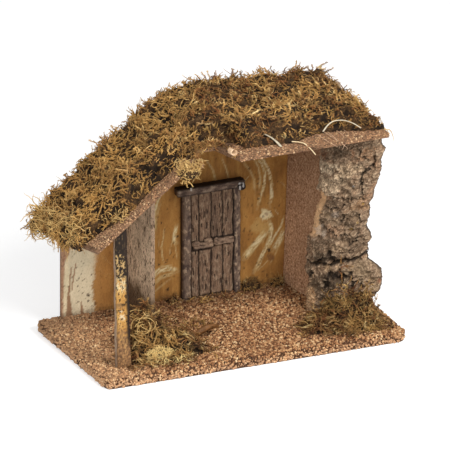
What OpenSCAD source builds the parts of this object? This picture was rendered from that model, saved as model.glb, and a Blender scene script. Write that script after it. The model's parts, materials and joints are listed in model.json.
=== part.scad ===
/* [Base] */
// Length of the base over its granulate, side to side
base_len = 350; // [330:1:380]
// Depth of the base over its granulate, front to back
base_depth = 188; // [176:1:210]
// Thickness of the base board
board_t = 9.5; // [7:0.5:14]
// Radius of the upright corners of the base
base_corner_r = 8; // [4:0.5:14]
// Thickness of the cork granulate on top of the board
cover_t = 2.5; // [1.5:0.1:4]
// Thickness of the cork granulate on the edges of the board
cover_edge_t = 1.5; // [1:0.1:1.8]
// Bare height left under the granulate on the edges of the board
cover_lift = 0.5; // [0.3:0.1:2]

/* [Walls] */
// Thickness of the fibreboard of the back wall and the right wall
wall_t = 5.5; // [4.5:0.5:8]
// Distance from the back edge of the base to the back of the back wall
back_in = 2; // [1.9:0.1:4]
// Distance from the left end of the base to the back wall
back_left_in = 26.5; // [15:1:40]
// Distance from the right end of the base to the back right corner of the room
room_right_in = 65; // [60:1:75]
// Outward lean of the right wall, in degrees
right_lean = 2.1; // [0:0.1:3]
// Outward splay of the right wall towards the front, in degrees
right_splay = 8; // [4:0.5:10]
// Length of the right wall, back to front
right_wall_len = 94; // [80:1:98]
// Thickness of the partition
partition_t = 4.5; // [3.5:0.5:6]
// Distance from the left end of the base to the left face of the partition
partition_in = 101; // [90:1:110]
// Distance from the front edge of the base to the front edge of the partition
partition_front_in = 113; // [100:1:130]

/* [Roof] */
// Thickness of the two roof panels
roof_t = 5; // [4:0.5:7]
// Height of the underside of the level right panel
ridge_h = 230; // [215:1:250]
// Height of the underside of the sloping left panel at the front of its eave
eave_h = 150; // [140:1:160]
// Drop of the eave from its front end to its back end
eave_drop = 33; // [10:1:36]
// Reach of the eave past the left end of the base
eave_out = 1.5; // [0:0.5:10]
// Distance from the left end of the base to the front end of the ridge
ridge_in = 105; // [100:1:110]
// Set-back of the front edge of the roof from the front edge of the base
roof_front_in = 20; // [14:1:24]
// Set-back of the back edge of the roof from the back edge of the base
roof_back_in = 1; // [0:0.5:1.5]
// Set-back of the right end of the roof from the right end of the base
roof_right_in = 11.5; // [8:0.5:14]
// Distance from the front end of the ridge to the notch in the front edge
notch_in = 17; // [12:1:24]
// Width of the notch in the front edge of the right panel
notch_w = 43; // [30:1:46]
// Depth of the notch in the front edge of the right panel
notch_d = 42; // [25:1:50]

/* [Front post] */
// Width of the split stick at its foot
post_w = 15; // [12:0.5:18]
// Depth of the split stick at its foot
post_d = 10; // [8:0.5:13]
// Distance from the left end of the base to the middle of the post's foot
post_in = 32; // [28:1:36]
// Distance from the front edge of the base to the middle of the post's foot
post_front_in = 30; // [28:1:34]
// Lean of the post to the left, in degrees
post_lean = 1.3; // [0:0.1:2]

/* [Door relief] */
// Place of the middle of the door along the room, as a share from the partition to the right wall
door_place_share = 0.52; // [0.46:0.01:0.56]
// Width over the two jambs
door_w = 67.5; // [58:0.5:74]
// Height of the casting with its lintel
door_h = 131; // [110:1:150]
// Thickness of the jambs
jamb_t = 8.5; // [7:0.5:11]
// Thickness of the planks
plank_t = 6; // [4:0.5:6.5]
// Depth of the grooves between the planks
groove_d = 1.6; // [0.8:0.1:2.4]
// Height of the lintel
lintel_h = 9; // [7:0.5:12]
// Thickness of the lintel
lintel_t = 11; // [9:0.5:13]
// Reach of the lintel past the left jamb
lintel_left = 8; // [4:0.5:10]
// Reach of the lintel past the right jamb
lintel_right = 3.5; // [2:0.5:6]
// Height of the latch bars
latch_h = 6.5; // [5:0.5:9]
// Thickness of the latch bars
latch_t = 2; // [1:0.1:3]
// Radius of the two rounded ears of the left latch bar
latch_ear_r = 4.2; // [3.5:0.1:5]
// Radius of the knob at the right end of the lintel
knob_r = 4.6; // [3.5:0.1:6]

/* [Cork bark column] */
// Distance that the left edge of the bark lies left of the front end of the right wall
bark_lap_x = 20; // [17:0.5:24]
// Distance that the left edge of the bark lies behind the front end of the right wall
bark_lap_y = 16.5; // [13:0.5:20]
// Width of the bark, edge to edge
bark_w = 82; // [72:1:84]
// Turn of the bark's face from the front towards the left, in degrees
bark_turn = 40; // [36:1:46]
// Height of the bulge of the bark over its width
bark_bulge = 21; // [16:1:26]
// Thickness of the bark
bark_t = 14; // [11:0.5:17]
// Depth of the fissures in the bark
fissure_d = 3.2; // [1:0.1:4]
// Height of the crack between the two pieces, at the left edge of the bark
crack_h = 66; // [55:1:75]
// Rise of the crack towards the right edge of the bark
crack_rise = 15; // [5:1:22]
// Chip missing from the top right corner of the bark
bark_chip = 11; // [4:1:16]

/* [Moss] */
// Thickness of the moss on the roof where it is fullest
moss_t = 28.5; // [22:0.5:38]
// Height of the lumps of the moss on the roof
lump_h = 3.4; // [1:0.1:5]
// Spacing of the lumps of the moss on the roof
lump_w = 18; // [14:1:45]
// Overhang of the moss past the eave
moss_over = 7; // [5:0.5:12]
// Drop of the moss below the edge of the eave
moss_lip = 1.5; // [0.5:0.5:10]
// Width of the bare strip along the front edge of the roof, before its shares are taken
bare_strip = 11; // [8:1:16]
// Height of the clump at the foot of the post
post_moss_h = 42; // [20:1:50]
// Height of the clump at the foot of the bark
bark_moss_h = 35; // [20:1:48]
// Height of the tufts at the foot of the back wall
wall_moss_h = 13; // [8:1:18]

/* [Straws and pins] */
// Width of the flat straw
straw_w = 3.2; // [2:0.1:4]
// Thickness of the round straws
straw_d = 1.7; // [1.2:0.1:2.4]
// Diameter of the shank of a panel pin
pin_d = 1.2; // [1:0.1:1.6]
// Length of a panel pin
pin_len = 16; // [14:0.5:18]
// Diameter of the head of a panel pin
pin_head_d = 2.4; // [2:0.1:3]
// Thickness of the head of a panel pin
pin_head_t = 0.7; // [0.5:0.1:1]

/* [Hidden] */

// Clearance round a piece that passes through another
fit_gap = 0.3;
// Clearance of moss, bark and straw from what carries them
seat_gap = 0.25;
// Radial clearance of a panel pin in its hole
pin_gap = 0.05;
// Overrun of every cut past the face it opens
cut = 1;

left_x = -base_len / 2;
right_x = base_len / 2;
front_y = -base_depth / 2;
back_y = base_depth / 2;
floor_z = board_t + cover_t;

// Planes of the walls
back_wall_y = back_y - back_in;
back_face_y = back_wall_y - wall_t;
back_left_x = left_x + back_left_in;
corner_x = right_x - room_right_in;
partition_x = left_x + partition_in;
partition_y = front_y + partition_front_in;

// Planes of the roof
roof_front_y = front_y + roof_front_in;
roof_back_y = back_y - roof_back_in;
roof_depth = roof_back_y - roof_front_y;
roof_right_x = right_x - roof_right_in;
eave_x = left_x - eave_out;
ridge_front_x = left_x + ridge_in;
level_len = roof_right_x - ridge_front_x;
slope_x = (ridge_h - eave_h) / (ridge_front_x - eave_x);
slope_y = -eave_drop / roof_depth;
ridge_back_x = eave_x + (ridge_h - eave_h + eave_drop) / slope_x;
pitch = atan(slope_x);
tip = atan(slope_y * cos(pitch));
steep = sqrt(1 + slope_x * slope_x + slope_y * slope_y);
left_top_rise = roof_t * steep;
eave_edge_x = eave_x - roof_t * slope_x / steep;

// The slope's own directions, up the slope and along the depth of the panel
slope_u = [cos(pitch), 0, sin(pitch)];
slope_v = [-sin(tip) * sin(pitch), cos(tip), sin(tip) * cos(pitch)];

function blend(a, b, s) = a + (b - a) * s;
function limit(s) = max(0, min(1, s));
function smooth(s) = limit(s) * limit(s) * (3 - 2 * limit(s));
function under_left(x, y) = eave_h + slope_x * (x - eave_x) + slope_y * (y - roof_front_y);
function ridge_x(y) = blend(ridge_front_x, ridge_back_x, (y - roof_front_y) / roof_depth);
function on_slope(x, y) = [x - eave_x, y - roof_front_y, under_left(x, y) - eave_h];
function slope_uv(x, y) = [on_slope(x, y) * slope_u, on_slope(x, y) * slope_v];

// A value of a table of evenly spaced shares, read between its entries
function read(table, s) =
    let (k = limit(s) * (len(table) - 1), i = min(floor(k), len(table) - 2))
    blend(table[i], table[i + 1], k - i);

// Waves of unlike lengths, which stand in for the unevenness of grown stuff, from -1 to 1
function waves(a, b) =
    (sin(360 * a + 200 * b) + sin(310 * b - 140 * a + 60) + sin(520 * a + 35) * cos(470 * b + 20)) / 3;

// A closed solid from rows of points, each row a closed ring, bottom ring first
// With folded set, each ring is a band folded back on itself and its ends are closed across the band
module rings_solid(rows, folded = false) {
    n = len(rows[0]);
    m = len(rows);
    last = (m - 1) * n;
    points = [for (row = rows) each row];
    sides = [for (j = [0:m - 2], i = [0:n - 1])
        let (k = (i + 1) % n)
        each [[j * n + i, (j + 1) * n + i, (j + 1) * n + k], [j * n + i, (j + 1) * n + k, j * n + k]]];
    flat_ends = [[for (i = [0:n - 1]) i], [for (i = [0:n - 1]) last + n - 1 - i]];
    folded_ends = [for (i = [0:n / 2 - 2])
        let (a = i, b = i + 1, c = n - 2 - i, d = n - 1 - i)
        each [[a, b, c], [a, c, d], [last + b, last + a, last + c], [last + c, last + a, last + d]]];
    polyhedron(points, concat(sides, folded ? folded_ends : flat_ends), convexity = 6);
}

// A closed solid between two grids of points of the same size, the upper and the lower one
module grid_solid(upper, lower) {
    n = len(upper[0]);
    m = len(upper);
    size = n * m;
    points = concat([for (row = upper) each row], [for (row = lower) each row]);
    skin = [for (j = [0:m - 2], i = [0:n - 2])
        let (a = j * n + i, b = a + 1, c = a + n + 1, d = a + n)
        each [[a, c, b], [a, d, c], [size + a, size + b, size + c], [size + a, size + c, size + d]]];
    front = [for (i = [0:n - 2]) each [[i, i + 1, size + i + 1], [i, size + i + 1, size + i]]];
    back_row = (m - 1) * n;
    back = [for (i = [0:n - 2])
        let (a = back_row + i)
        each [[a + 1, a, size + a], [a + 1, size + a, size + a + 1]]];
    left = [for (j = [0:m - 2])
        let (a = j * n, d = a + n)
        each [[d, a, size + a], [d, size + a, size + d]]];
    right = [for (j = [0:m - 2])
        let (b = j * n + n - 1, c = b + n)
        each [[b, c, size + c], [b, size + c, size + b]]];
    polyhedron(points, concat(skin, front, back, left, right), convexity = 8);
}

// A tube along a line of points, with a flat or round section given by its width and thickness
module stalk(line, wide, thick, sides) {
    last = len(line) - 1;
    rings_solid([for (j = [0:last])
        let (
            d = line[min(j + 1, last)] - line[max(j - 1, 0)],
            a = d / norm(d),
            s = cross(a, [0, 0, 1]),
            side = s / norm(s),
            up = cross(side, a)
        )
        [for (i = [0:sides - 1])
            let (t = 360 * i / sides)
            line[j] + side * (cos(t) * wide / 2) + up * (sin(t) * thick / 2)]]);
}

// Everything above the undersides of the roof
module above_roof() {
    translate([eave_x, roof_front_y, eave_h])
        rotate([tip, -pitch, 0])
            translate([-base_len, -base_len, 0])
                cube([3 * base_len, 3 * base_len, base_len]);
    translate([-base_len, -base_len, ridge_h])
        cube([2 * base_len, 2 * base_len, base_len]);
}

// Places children in the frame of the sloping panel's underside
module on_left_roof(x, y) {
    uv = slope_uv(x, y);
    translate([eave_x, roof_front_y, eave_h])
        rotate([tip, -pitch, 0])
            translate([uv[0], uv[1], 0])
                children();
}

module base_outline(inset) {
    r = base_corner_r - inset;
    w = base_len - 2 * inset;
    d = base_depth - 2 * inset;
    square([w - 2 * r, d], center = true);
    square([w, d - 2 * r], center = true);
    for (sx = [-1, 1], sy = [-1, 1])
        translate([sx * (w / 2 - r), sy * (d / 2 - r)])
            circle(r, $fn = 48);
}

// Panel pins: a head at the outside and the shank running along -Z from it
pin_r = pin_d / 2;
pin_head_r = pin_head_d / 2;

module pin() {
    translate([0, 0, -pin_head_t])
        cylinder(r = pin_head_r, h = pin_head_t, $fn = 24);
    translate([0, 0, -pin_len])
        cylinder(r = pin_r, h = pin_len - pin_head_t, $fn = 24);
}

module pin_hole() {
    translate([0, 0, -pin_head_t - pin_gap])
        cylinder(r = pin_head_r + pin_gap, h = pin_head_t + cut, $fn = 24);
    translate([0, 0, -pin_len - pin_gap])
        cylinder(r = pin_r + pin_gap, h = pin_len + pin_gap, $fn = 24);
}

// Where the pins of the base go up into the walls and the post
back_pin_shares = [0.08, 0.42, 0.92];
end_pin_shares = [0.2, 0.8];
right_dir = [sin(right_splay), -cos(right_splay)];
right_mid = [cos(right_splay), sin(right_splay)] * (wall_t / 2);
right_end = [corner_x, back_face_y] + right_dir * right_wall_len;
base_pin_places = concat(
    [for (s = back_pin_shares) [blend(back_left_x, corner_x, s), back_face_y + wall_t / 2]],
    [for (s = end_pin_shares) [partition_x + partition_t / 2, blend(partition_y, back_face_y, s)]],
    [for (s = end_pin_shares) [corner_x, back_face_y] + right_dir * (right_wall_len * s) + right_mid],
    [[left_x + post_in, front_y + post_front_in]]);

module at_base_pins() {
    for (p = base_pin_places)
        translate([p[0], p[1], 0])
            mirror([0, 0, 1])
                children();
}

// Where the pins of the sloping panel go square down into the back wall
slope_pin_shares = [0.16, 0.84];
slope_pin_lean = (pin_len - roof_t) * sin(tip) / 2;
slope_pin_y = back_face_y + wall_t / 2 - slope_pin_lean;

module at_left_pins() {
    for (s = slope_pin_shares)
        on_left_roof(blend(back_left_x, ridge_x(slope_pin_y), s), slope_pin_y)
            translate([0, 0, roof_t])
                children();
}

// Where the pins of the level panel go down into the back wall and the right wall
level_pin_shares = [0.1, 0.5, 0.9];
side_pin_shares = [0.3, 0.75];
lean_run = (ridge_h - board_t) * tan(right_lean);
right_pin_places = concat(
    [for (s = level_pin_shares) [blend(ridge_back_x, corner_x, s), back_face_y + wall_t / 2]],
    [for (s = side_pin_shares)
        [corner_x, back_face_y] + right_dir * (right_wall_len * s) + right_mid
            + [cos(right_splay), sin(right_splay)] * lean_run]);

module at_right_pins() {
    for (p = right_pin_places)
        translate([p[0], p[1], ridge_h + roof_t])
            children();
}

module base_board() {
    color([0.62, 0.50, 0.38])
        difference() {
            linear_extrude(board_t)
                base_outline(cover_edge_t);
            at_base_pins()
                pin_hole();
        }
}

// The space of each upright that stands on the board, wider all round by a gap
module right_wall_slab(gap) {
    translate([corner_x, back_face_y, board_t])
        rotate([0, 0, right_splay])
            rotate([0, right_lean, 0])
                translate([-gap, -right_wall_len - gap, -wall_t])
                    cube([wall_t + 2 * gap, right_wall_len + 3 * wall_t, ridge_h + wall_t]);
}

module foot_spaces() {
    translate([back_left_x - fit_gap, back_face_y - fit_gap, board_t - cut])
        cube([corner_x + wall_t - back_left_x, wall_t + 2 * fit_gap, cover_t + 2 * cut]);
    translate([partition_x - fit_gap, partition_y - fit_gap, board_t - cut])
        cube([partition_t + 2 * fit_gap, back_face_y - partition_y + 2 * fit_gap, cover_t + 2 * cut]);
    intersection() {
        right_wall_slab(fit_gap);
        translate([0, front_y, board_t - cut])
            cube([base_len, back_wall_y + fit_gap - front_y, cover_t + 2 * cut]);
    }
    translate([left_x + post_in, front_y + post_front_in, board_t + cover_t / 2])
        cube([post_w + 4 * fit_gap, post_d + 4 * fit_gap, cover_t + 2 * cut], center = true);
}

module ground_cover() {
    color([0.70, 0.50, 0.37])
        difference() {
            translate([0, 0, cover_lift])
                linear_extrude(floor_z - cover_lift)
                    base_outline(0);
            translate([0, 0, -cut])
                linear_extrude(board_t + cut)
                    base_outline(cover_edge_t);
            foot_spaces();
        }
}

module back_wall() {
    color([0.66, 0.46, 0.22])
        difference() {
            translate([back_left_x, back_face_y, board_t])
                cube([corner_x + room_right_in / 2 - back_left_x, wall_t, ridge_h]);
            above_roof();
            translate([corner_x, back_face_y, board_t])
                rotate([0, 0, right_splay])
                    rotate([0, right_lean, 0])
                        translate([0, -base_depth, -base_depth])
                            cube([base_len, 2 * base_depth, base_len + base_depth]);
            at_base_pins()
                pin_hole();
            at_left_pins()
                pin_hole();
            at_right_pins()
                pin_hole();
        }
}

module partition_wall() {
    color([0.58, 0.50, 0.43])
        difference() {
            translate([partition_x, partition_y, board_t])
                cube([partition_t, back_face_y - partition_y, ridge_h]);
            above_roof();
            at_base_pins()
                pin_hole();
        }
}

module right_wall() {
    color([0.48, 0.37, 0.28])
        difference() {
            intersection() {
                right_wall_slab(0);
                translate([0, front_y, board_t])
                    cube([base_len, back_wall_y - front_y, ridge_h - board_t]);
            }
            at_base_pins()
                pin_hole();
            at_right_pins()
                pin_hole();
        }
}

// The split stick: flat on its left and back, swelling a little at the front where the bark is
post_width_shares = [1, 0.98, 1, 0.95, 0.97, 0.93, 0.9, 0.91, 0.9];
post_depth_shares = [1, 0.94, 0.9, 0.84, 0.76, 0.7, 0.66, 0.64, 0.62];
post_sway_shares = [0, 0.03, -0.02, 0.03, 0, -0.03, 0.02, 0.03, 0];
post_face_shares = [[-0.5, 0.5], [-0.5, -0.32], [-0.38, -0.46], [-0.12, -0.5], [0.16, -0.47],
    [0.4, -0.42], [0.5, -0.25], [0.48, 0.5]];

module front_post() {
    tall = ridge_h - board_t;
    last = len(post_width_shares) - 1;
    color([0.80, 0.62, 0.33])
        difference() {
            translate([left_x + post_in, front_y + post_front_in, board_t])
                rings_solid([for (j = [0:last])
                    let (
                        z = tall * j / last,
                        dx = -z * tan(post_lean) + post_sway_shares[j] * post_w,
                        wide = post_w * post_width_shares[j],
                        deep = post_d * post_depth_shares[j]
                    )
                    [for (p = post_face_shares) [dx + p[0] * wide, p[1] * deep, z]]]);
            above_roof();
            at_base_pins()
                pin_hole();
        }
}

module roof_panel_left() {
    color([0.60, 0.46, 0.36])
        difference() {
            translate([eave_x, roof_front_y, eave_h])
                rotate([tip, -pitch, 0])
                    linear_extrude(roof_t)
                        polygon([slope_uv(eave_x, roof_front_y), slope_uv(ridge_front_x, roof_front_y),
                            slope_uv(ridge_back_x, roof_back_y), slope_uv(eave_x, roof_back_y)]);
            at_left_pins()
                pin_hole();
        }
}

// The broken notch in the front edge, as shares of its width and depth
notch_shares = [[0, 0], [0.08, 0.7], [0.3, 1], [0.72, 0.95], [0.86, 0.43], [1, 0]];
notch_x = ridge_front_x + notch_in;

module roof_panel_right() {
    color([0.60, 0.46, 0.36])
        difference() {
            translate([0, 0, ridge_h])
                linear_extrude(roof_t)
                    polygon([[ridge_front_x + fit_gap, roof_front_y], [roof_right_x, roof_front_y],
                        [roof_right_x, roof_back_y], [ridge_back_x + fit_gap, roof_back_y]]);
            translate([0, 0, ridge_h - cut])
                linear_extrude(roof_t + 2 * cut)
                    polygon(concat([[notch_x, roof_front_y - cut]],
                        [for (p = notch_shares)
                            [notch_x + p[0] * notch_w, roof_front_y + p[1] * notch_d]],
                        [[notch_x + notch_w, roof_front_y - cut]]));
            at_right_pins()
                pin_hole();
        }
}

// The door is one casting: boards side by side, a lintel over them and a latch in two bars
board_edge_shares = [0, 0.148, 0.288, 0.497, 0.698, 0.881, 1];
board_top_shares = [1, 0.995, 1, 0.99, 1, 0.985];
door_x = blend(partition_x + partition_t, corner_x, door_place_share) - door_w / 2;
door_face_y = back_face_y;
plank_round = groove_d;
latch_z = floor_z + 0.455 * door_h;
latch_bar_shares = [[0.17, 0], [0.53, -0.15]];
latch_len_share = 0.33;
latch_ear_shares = [0.22, 0.44];
knob_z = floor_z + door_h - (lintel_h + knob_r) / 2;

// A board's section: a flat back and a front with two rounded corners
module board_section(w, t) {
    r = min(plank_round, w / 3);
    translate([0, -(t - r)])
        square([w, t - r]);
    translate([r, -t])
        square([w - 2 * r, t]);
    for (x = [r, w - r])
        translate([x, -(t - r)])
            circle(r, $fn = 24);
}

module door_relief() {
    boards = len(board_top_shares);
    leaf_h = door_h - lintel_h / 2;
    color([0.42, 0.34, 0.30])
        translate([door_x, door_face_y, 0]) {
            for (i = [0:boards - 1]) {
                x0 = board_edge_shares[i] * door_w;
                x1 = board_edge_shares[i + 1] * door_w;
                jamb = i == 0 || i == boards - 1;
                translate([x0, 0, floor_z])
                    linear_extrude(leaf_h * board_top_shares[i])
                        board_section(x1 - x0, jamb ? jamb_t : plank_t);
            }
            translate([groove_d, -(plank_t - groove_d), floor_z])
                cube([door_w - 2 * groove_d, plank_t - groove_d, leaf_h - lintel_h / 2]);
            translate([-lintel_left, 0, floor_z + door_h - lintel_h])
                rotate([90, 0, 90])
                    linear_extrude(lintel_left + door_w + lintel_right)
                        translate([-lintel_t, 0])
                            union() {
                                translate([plank_round, 0])
                                    square([lintel_t - plank_round, lintel_h]);
                                translate([0, plank_round])
                                    square([lintel_t, lintel_h - 2 * plank_round]);
                                for (z = [plank_round, lintel_h - plank_round])
                                    translate([plank_round, z])
                                        circle(plank_round, $fn = 24);
                            }
            translate([0, -plank_t, latch_z])
                rotate([90, 0, 0])
                    linear_extrude(latch_t) {
                        for (p = latch_bar_shares)
                            translate([door_w * p[0], latch_h * p[1]])
                                square([door_w * latch_len_share, latch_h]);
                        for (s = latch_ear_shares)
                            translate([door_w * s, latch_h])
                                circle(latch_ear_r, $fn = 32);
                    }
            translate([door_w + lintel_right - knob_r, -lintel_t, knob_z])
                sphere(knob_r, $fn = 32);
        }
}

// The bark is a curved slab. Its left and right edges wander with height, as shares of its width,
// and its face bulges towards the front left.
bark_rows = 27;
bark_cols = 22;
bark_along = [cos(bark_turn), -sin(bark_turn), 0];
bark_out = [-sin(bark_turn), -cos(bark_turn), 0];
bark_corner = [right_end[0] - bark_lap_x, right_end[1] + bark_lap_y, 0];
upper_left_shares = [-0.02, 0, 0.01, 0.03, 0.05, 0.11, 0.145, 0.125, 0.135, 0.155, 0.17];
upper_right_shares = [0.72, 0.8, 0.86, 0.81, 0.8, 0.85, 0.92, 0.97, 0.97, 1, 0.98];
upper_out_shares = [-0.25, 0, 0.12, 0.05, 0.1, 0, 0.12, 0.05, 0, 0.08, -0.1];
foot_left_shares = [0.02, 0.03, 0, 0.04, 0.03, -0.04, -0.02];
foot_right_shares = [0.86, 0.85, 0.88, 0.98, 1, 0.92, 0.72];
foot_out_shares = [0.2, 0.12, 0.1, 0.25, 0.3, 0.2, -0.2];

// Plates and fissures: steep-sided cracks between lumps that lie in rough courses
function plates(s, h) =
    let (
        course = h + 0.05 * sin(330 * s) + 0.03 * sin(800 * s + 50),
        across = abs(sin(360 * (2.1 * course) + 70 * sin(420 * s))),
        up = abs(sin(360 * (1.4 * s) + 150 * sin(500 * course) + 40))
    )
    (pow(across, 0.4) + pow(up, 0.5)) / 2 - 0.75;

function bark_point(s, h, left_share, right_share, push, inner, height) =
    let (
        t = blend(left_share, right_share, s),
        arch = 4 * s * (1 - s),
        edge = 1 - 0.45 * pow(abs(2 * s - 1), 3),
        rough = inner ? 0.25 * waves(2 * s, 3 * h) : plates(s, h),
        out = bark_bulge * arch + bark_t * push - (inner ? bark_t * edge : 0) + fissure_d * rough
    )
    bark_corner + bark_along * (bark_w * t) + bark_out * out + [0, 0, height];

// One ring of the slab: the outer face from left to right, then the inner face back
function bark_ring(h, lefts, rights, pushes, low, high) = concat(
    [for (i = [0:bark_cols])
        let (s = i / bark_cols)
        bark_point(s, h, read(lefts, h), read(rights, h), read(pushes, h), false,
            blend(low(s), high(s), h))],
    [for (i = [0:bark_cols])
        let (s = 1 - i / bark_cols)
        bark_point(s, h, read(lefts, h), read(rights, h), read(pushes, h), true,
            blend(low(s), high(s), h))]);

crack_z = function (s) crack_h + crack_rise * s + seat_gap * sin(900 * s);
upper_foot_z = function (s) crack_z(s) + seat_gap;
upper_top_z = function (s) ridge_h - seat_gap - bark_chip * smooth((s - 0.45) / 0.5);
foot_z = function (s) floor_z;

module bark_column_upper() {
    color([0.50, 0.42, 0.34])
        rings_solid([for (j = [0:bark_rows])
            bark_ring(j / bark_rows, upper_left_shares, upper_right_shares, upper_out_shares,
                upper_foot_z, upper_top_z)], folded = true);
}

module bark_column_foot() {
    rows = round(bark_rows / 2);
    color([0.46, 0.39, 0.32])
        rings_solid([for (j = [0:rows])
            bark_ring(j / rows, foot_left_shares, foot_right_shares, foot_out_shares, foot_z, crack_z)],
            folded = true);
}

// Moss on the roof. Its thickness runs along the roof by a table of shares of its fullest.
slope_moss_shares = [0.66, 0.85, 0.84, 1.0, 0.82, 0.93, 0.9, 0.8];
level_moss_shares = [0.8, 0.95, 1.03, 1.02, 0.92, 0.86, 0.86, 0.8, 0.78, 0.75, 0.68, 0.52];
moss_cols_left = 19;
moss_cols_right = 30;
moss_rows = 17;
moss_edge = bare_strip + moss_t / 2;

// Rounds the moss off towards its free edges: the distance from an edge, as a share of moss_edge
function rounding(d) = 0.3 + 0.7 * sqrt(limit(d / moss_edge));
function lumps(x, y) = lump_h * waves((x + y / 4) / (2 * lump_w), y / (2 * lump_w));

// The bare strip along the front edge widens and narrows from left to right
slope_bare_shares = [2.7, 2.3, 1.2, 0.9, 1.4, 1.6, 1.6, 1.3];
level_bare_shares = [1.2, 1.4, 1.5, 1.6, 1.6, 1.5, 1.1, 2.1, 2.4, 2.1, 1.2, 0.8];

function left_front(x) = roof_front_y + bare_strip * read(slope_bare_shares, (x - eave_x) / ridge_in);
function notch_bay(x) =
    let (s = (x - notch_x) / notch_w)
    (notch_d + seat_gap) * smooth((s + 0.35) / 0.35) * smooth((1.35 - s) / 0.35);
function right_front(x) =
    let (bare = read(level_bare_shares, (x - ridge_front_x) / level_len))
    roof_front_y + max(bare_strip * bare, notch_bay(x));

module moss_roof_left() {
    skirt_x = eave_edge_x - seat_gap;
    columns = [for (i = [-2:moss_cols_left]) i];
    function along(i, y) = i < 0
        ? (i == -2 ? skirt_x - moss_over : skirt_x)
        : blend(eave_edge_x, ridge_x(y) - seat_gap, i / moss_cols_left);
    function base_z(x, y) = under_left(x, y) + left_top_rise + seat_gap;
    function thick(x, y) =
        let (
            s = (x - eave_x) / (ridge_x(y) - eave_x),
            share = read(slope_moss_shares, s),
            stand = blend(0.9 * steep, 1, smooth(2 * s - 1)),
            back = rounding((roof_back_y - y) * 2 + moss_edge / 3),
            front = rounding(y - left_front(x)),
            eave = rounding((x - skirt_x + moss_over) * 2)
        )
        moss_t * share * min(back, front, eave) * stand + lumps(x, y);
    function row_y(x, j) = blend(left_front(x), roof_back_y, j / moss_rows);
    function lip_z(y, i) =
        under_left(eave_x, y) - moss_lip * (1 + waves(y / lump_w, i))
            + left_top_rise * smooth((y - roof_front_y) / roof_depth);
    upper = [for (j = [0:moss_rows]) [for (i = columns)
        let (x0 = along(i, roof_front_y), y = row_y(x0, j), x = along(i, y))
        [x, y, base_z(max(x, eave_edge_x), y) + thick(x, y)]]];
    lower = [for (j = [0:moss_rows]) [for (i = columns)
        let (x0 = along(i, roof_front_y), y = row_y(x0, j), x = along(i, y))
        [x, y, i < 0 ? lip_z(y, i) : base_z(x, y)]]];
    color([0.58, 0.47, 0.22])
        grid_solid(upper, lower);
}

module moss_roof_right() {
    low = ridge_h + roof_t + seat_gap;
    function along(i, y) = blend(ridge_x(y) + seat_gap, roof_right_x, i / moss_cols_right);
    function thick(x, y) =
        let (
            share = read(level_moss_shares, (x - ridge_x(y)) / (roof_right_x - ridge_x(y))),
            back = rounding((roof_back_y - y) * 2 + moss_edge / 3),
            front = rounding(y - right_front(x)),
            end = rounding((roof_right_x - x) * 2)
        )
        moss_t * share * min(back, front, end) + lumps(x, y);
    upper = [for (j = [0:moss_rows]) [for (i = [0:moss_cols_right])
        let (
            x0 = along(i, roof_front_y),
            y = blend(right_front(x0), roof_back_y, j / moss_rows),
            x = along(i, y)
        )
        [x, y, low + thick(x, y)]]];
    lower = [for (row = upper) [for (p = row) [p[0], p[1], low]]];
    color([0.60, 0.49, 0.25])
        grid_solid(upper, lower);
}

// A lumpy clump with a flat foot, from its half sizes and height. Its summit is off its middle by
// the shares of its half sizes given in lean.
module clump(half_x, half_y, tall, seed, round_steps, rise_steps, lean = [0, 0]) {
    rings_solid([for (j = [0:rise_steps])
        let (h = j / rise_steps, shrink = sqrt(1 - 0.97 * h * h))
        [for (i = [0:round_steps - 1])
            let (
                t = 360 * i / round_steps,
                uneven = 0.14 * waves(i / round_steps + seed, h + seed) + 0.1 * sin(3 * t + 90 * seed),
                r = shrink * (1 + uneven)
            )
            [half_x * (r * cos(t) + lean[0] * h), half_y * (r * sin(t) + lean[1] * h),
                tall * h * (1 + 0.1 * shrink * sin(2 * t + 80 * seed))]]]);
}

// The pale tuft that hangs over the front edge beside the ridge
ridge_tuft_w = 26;
ridge_tuft_h = 17;

module moss_ridge_tuft() {
    color([0.76, 0.68, 0.40])
        translate([ridge_front_x, roof_front_y - seat_gap, ridge_h - ridge_tuft_h * 0.15])
            rotate([90, 12, 0])
                clump(ridge_tuft_w / 2, ridge_tuft_h / 2, ridge_tuft_h / 3, 0.4, 16, 4);
}

// The clump beside the post: its half sizes, and its middle as seen from the post's foot
post_clump_half = [42, 31];
post_clump_shift = [49, 16];
post_clump_turn = -8;

module moss_post_foot() {
    mid = [left_x + post_in, front_y + post_front_in] + post_clump_shift;
    color([0.62, 0.49, 0.22])
        difference() {
            translate([mid[0], mid[1], floor_z + seat_gap])
                rotate([0, 0, post_clump_turn])
                    clump(post_clump_half[0], post_clump_half[1], post_moss_h, 0.15, 26, 7, [-0.5, 0.3]);
            translate([left_x, front_y, 0])
                cube([post_in + post_w / 2 + fit_gap, base_depth, ridge_h]);
        }
}

// The clump in front of the bark column, cut away where the column stands
bark_clump_half = [53, 34];
bark_clump_turn = -12;
bark_clump_shares = [0.66, 1.95];

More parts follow.
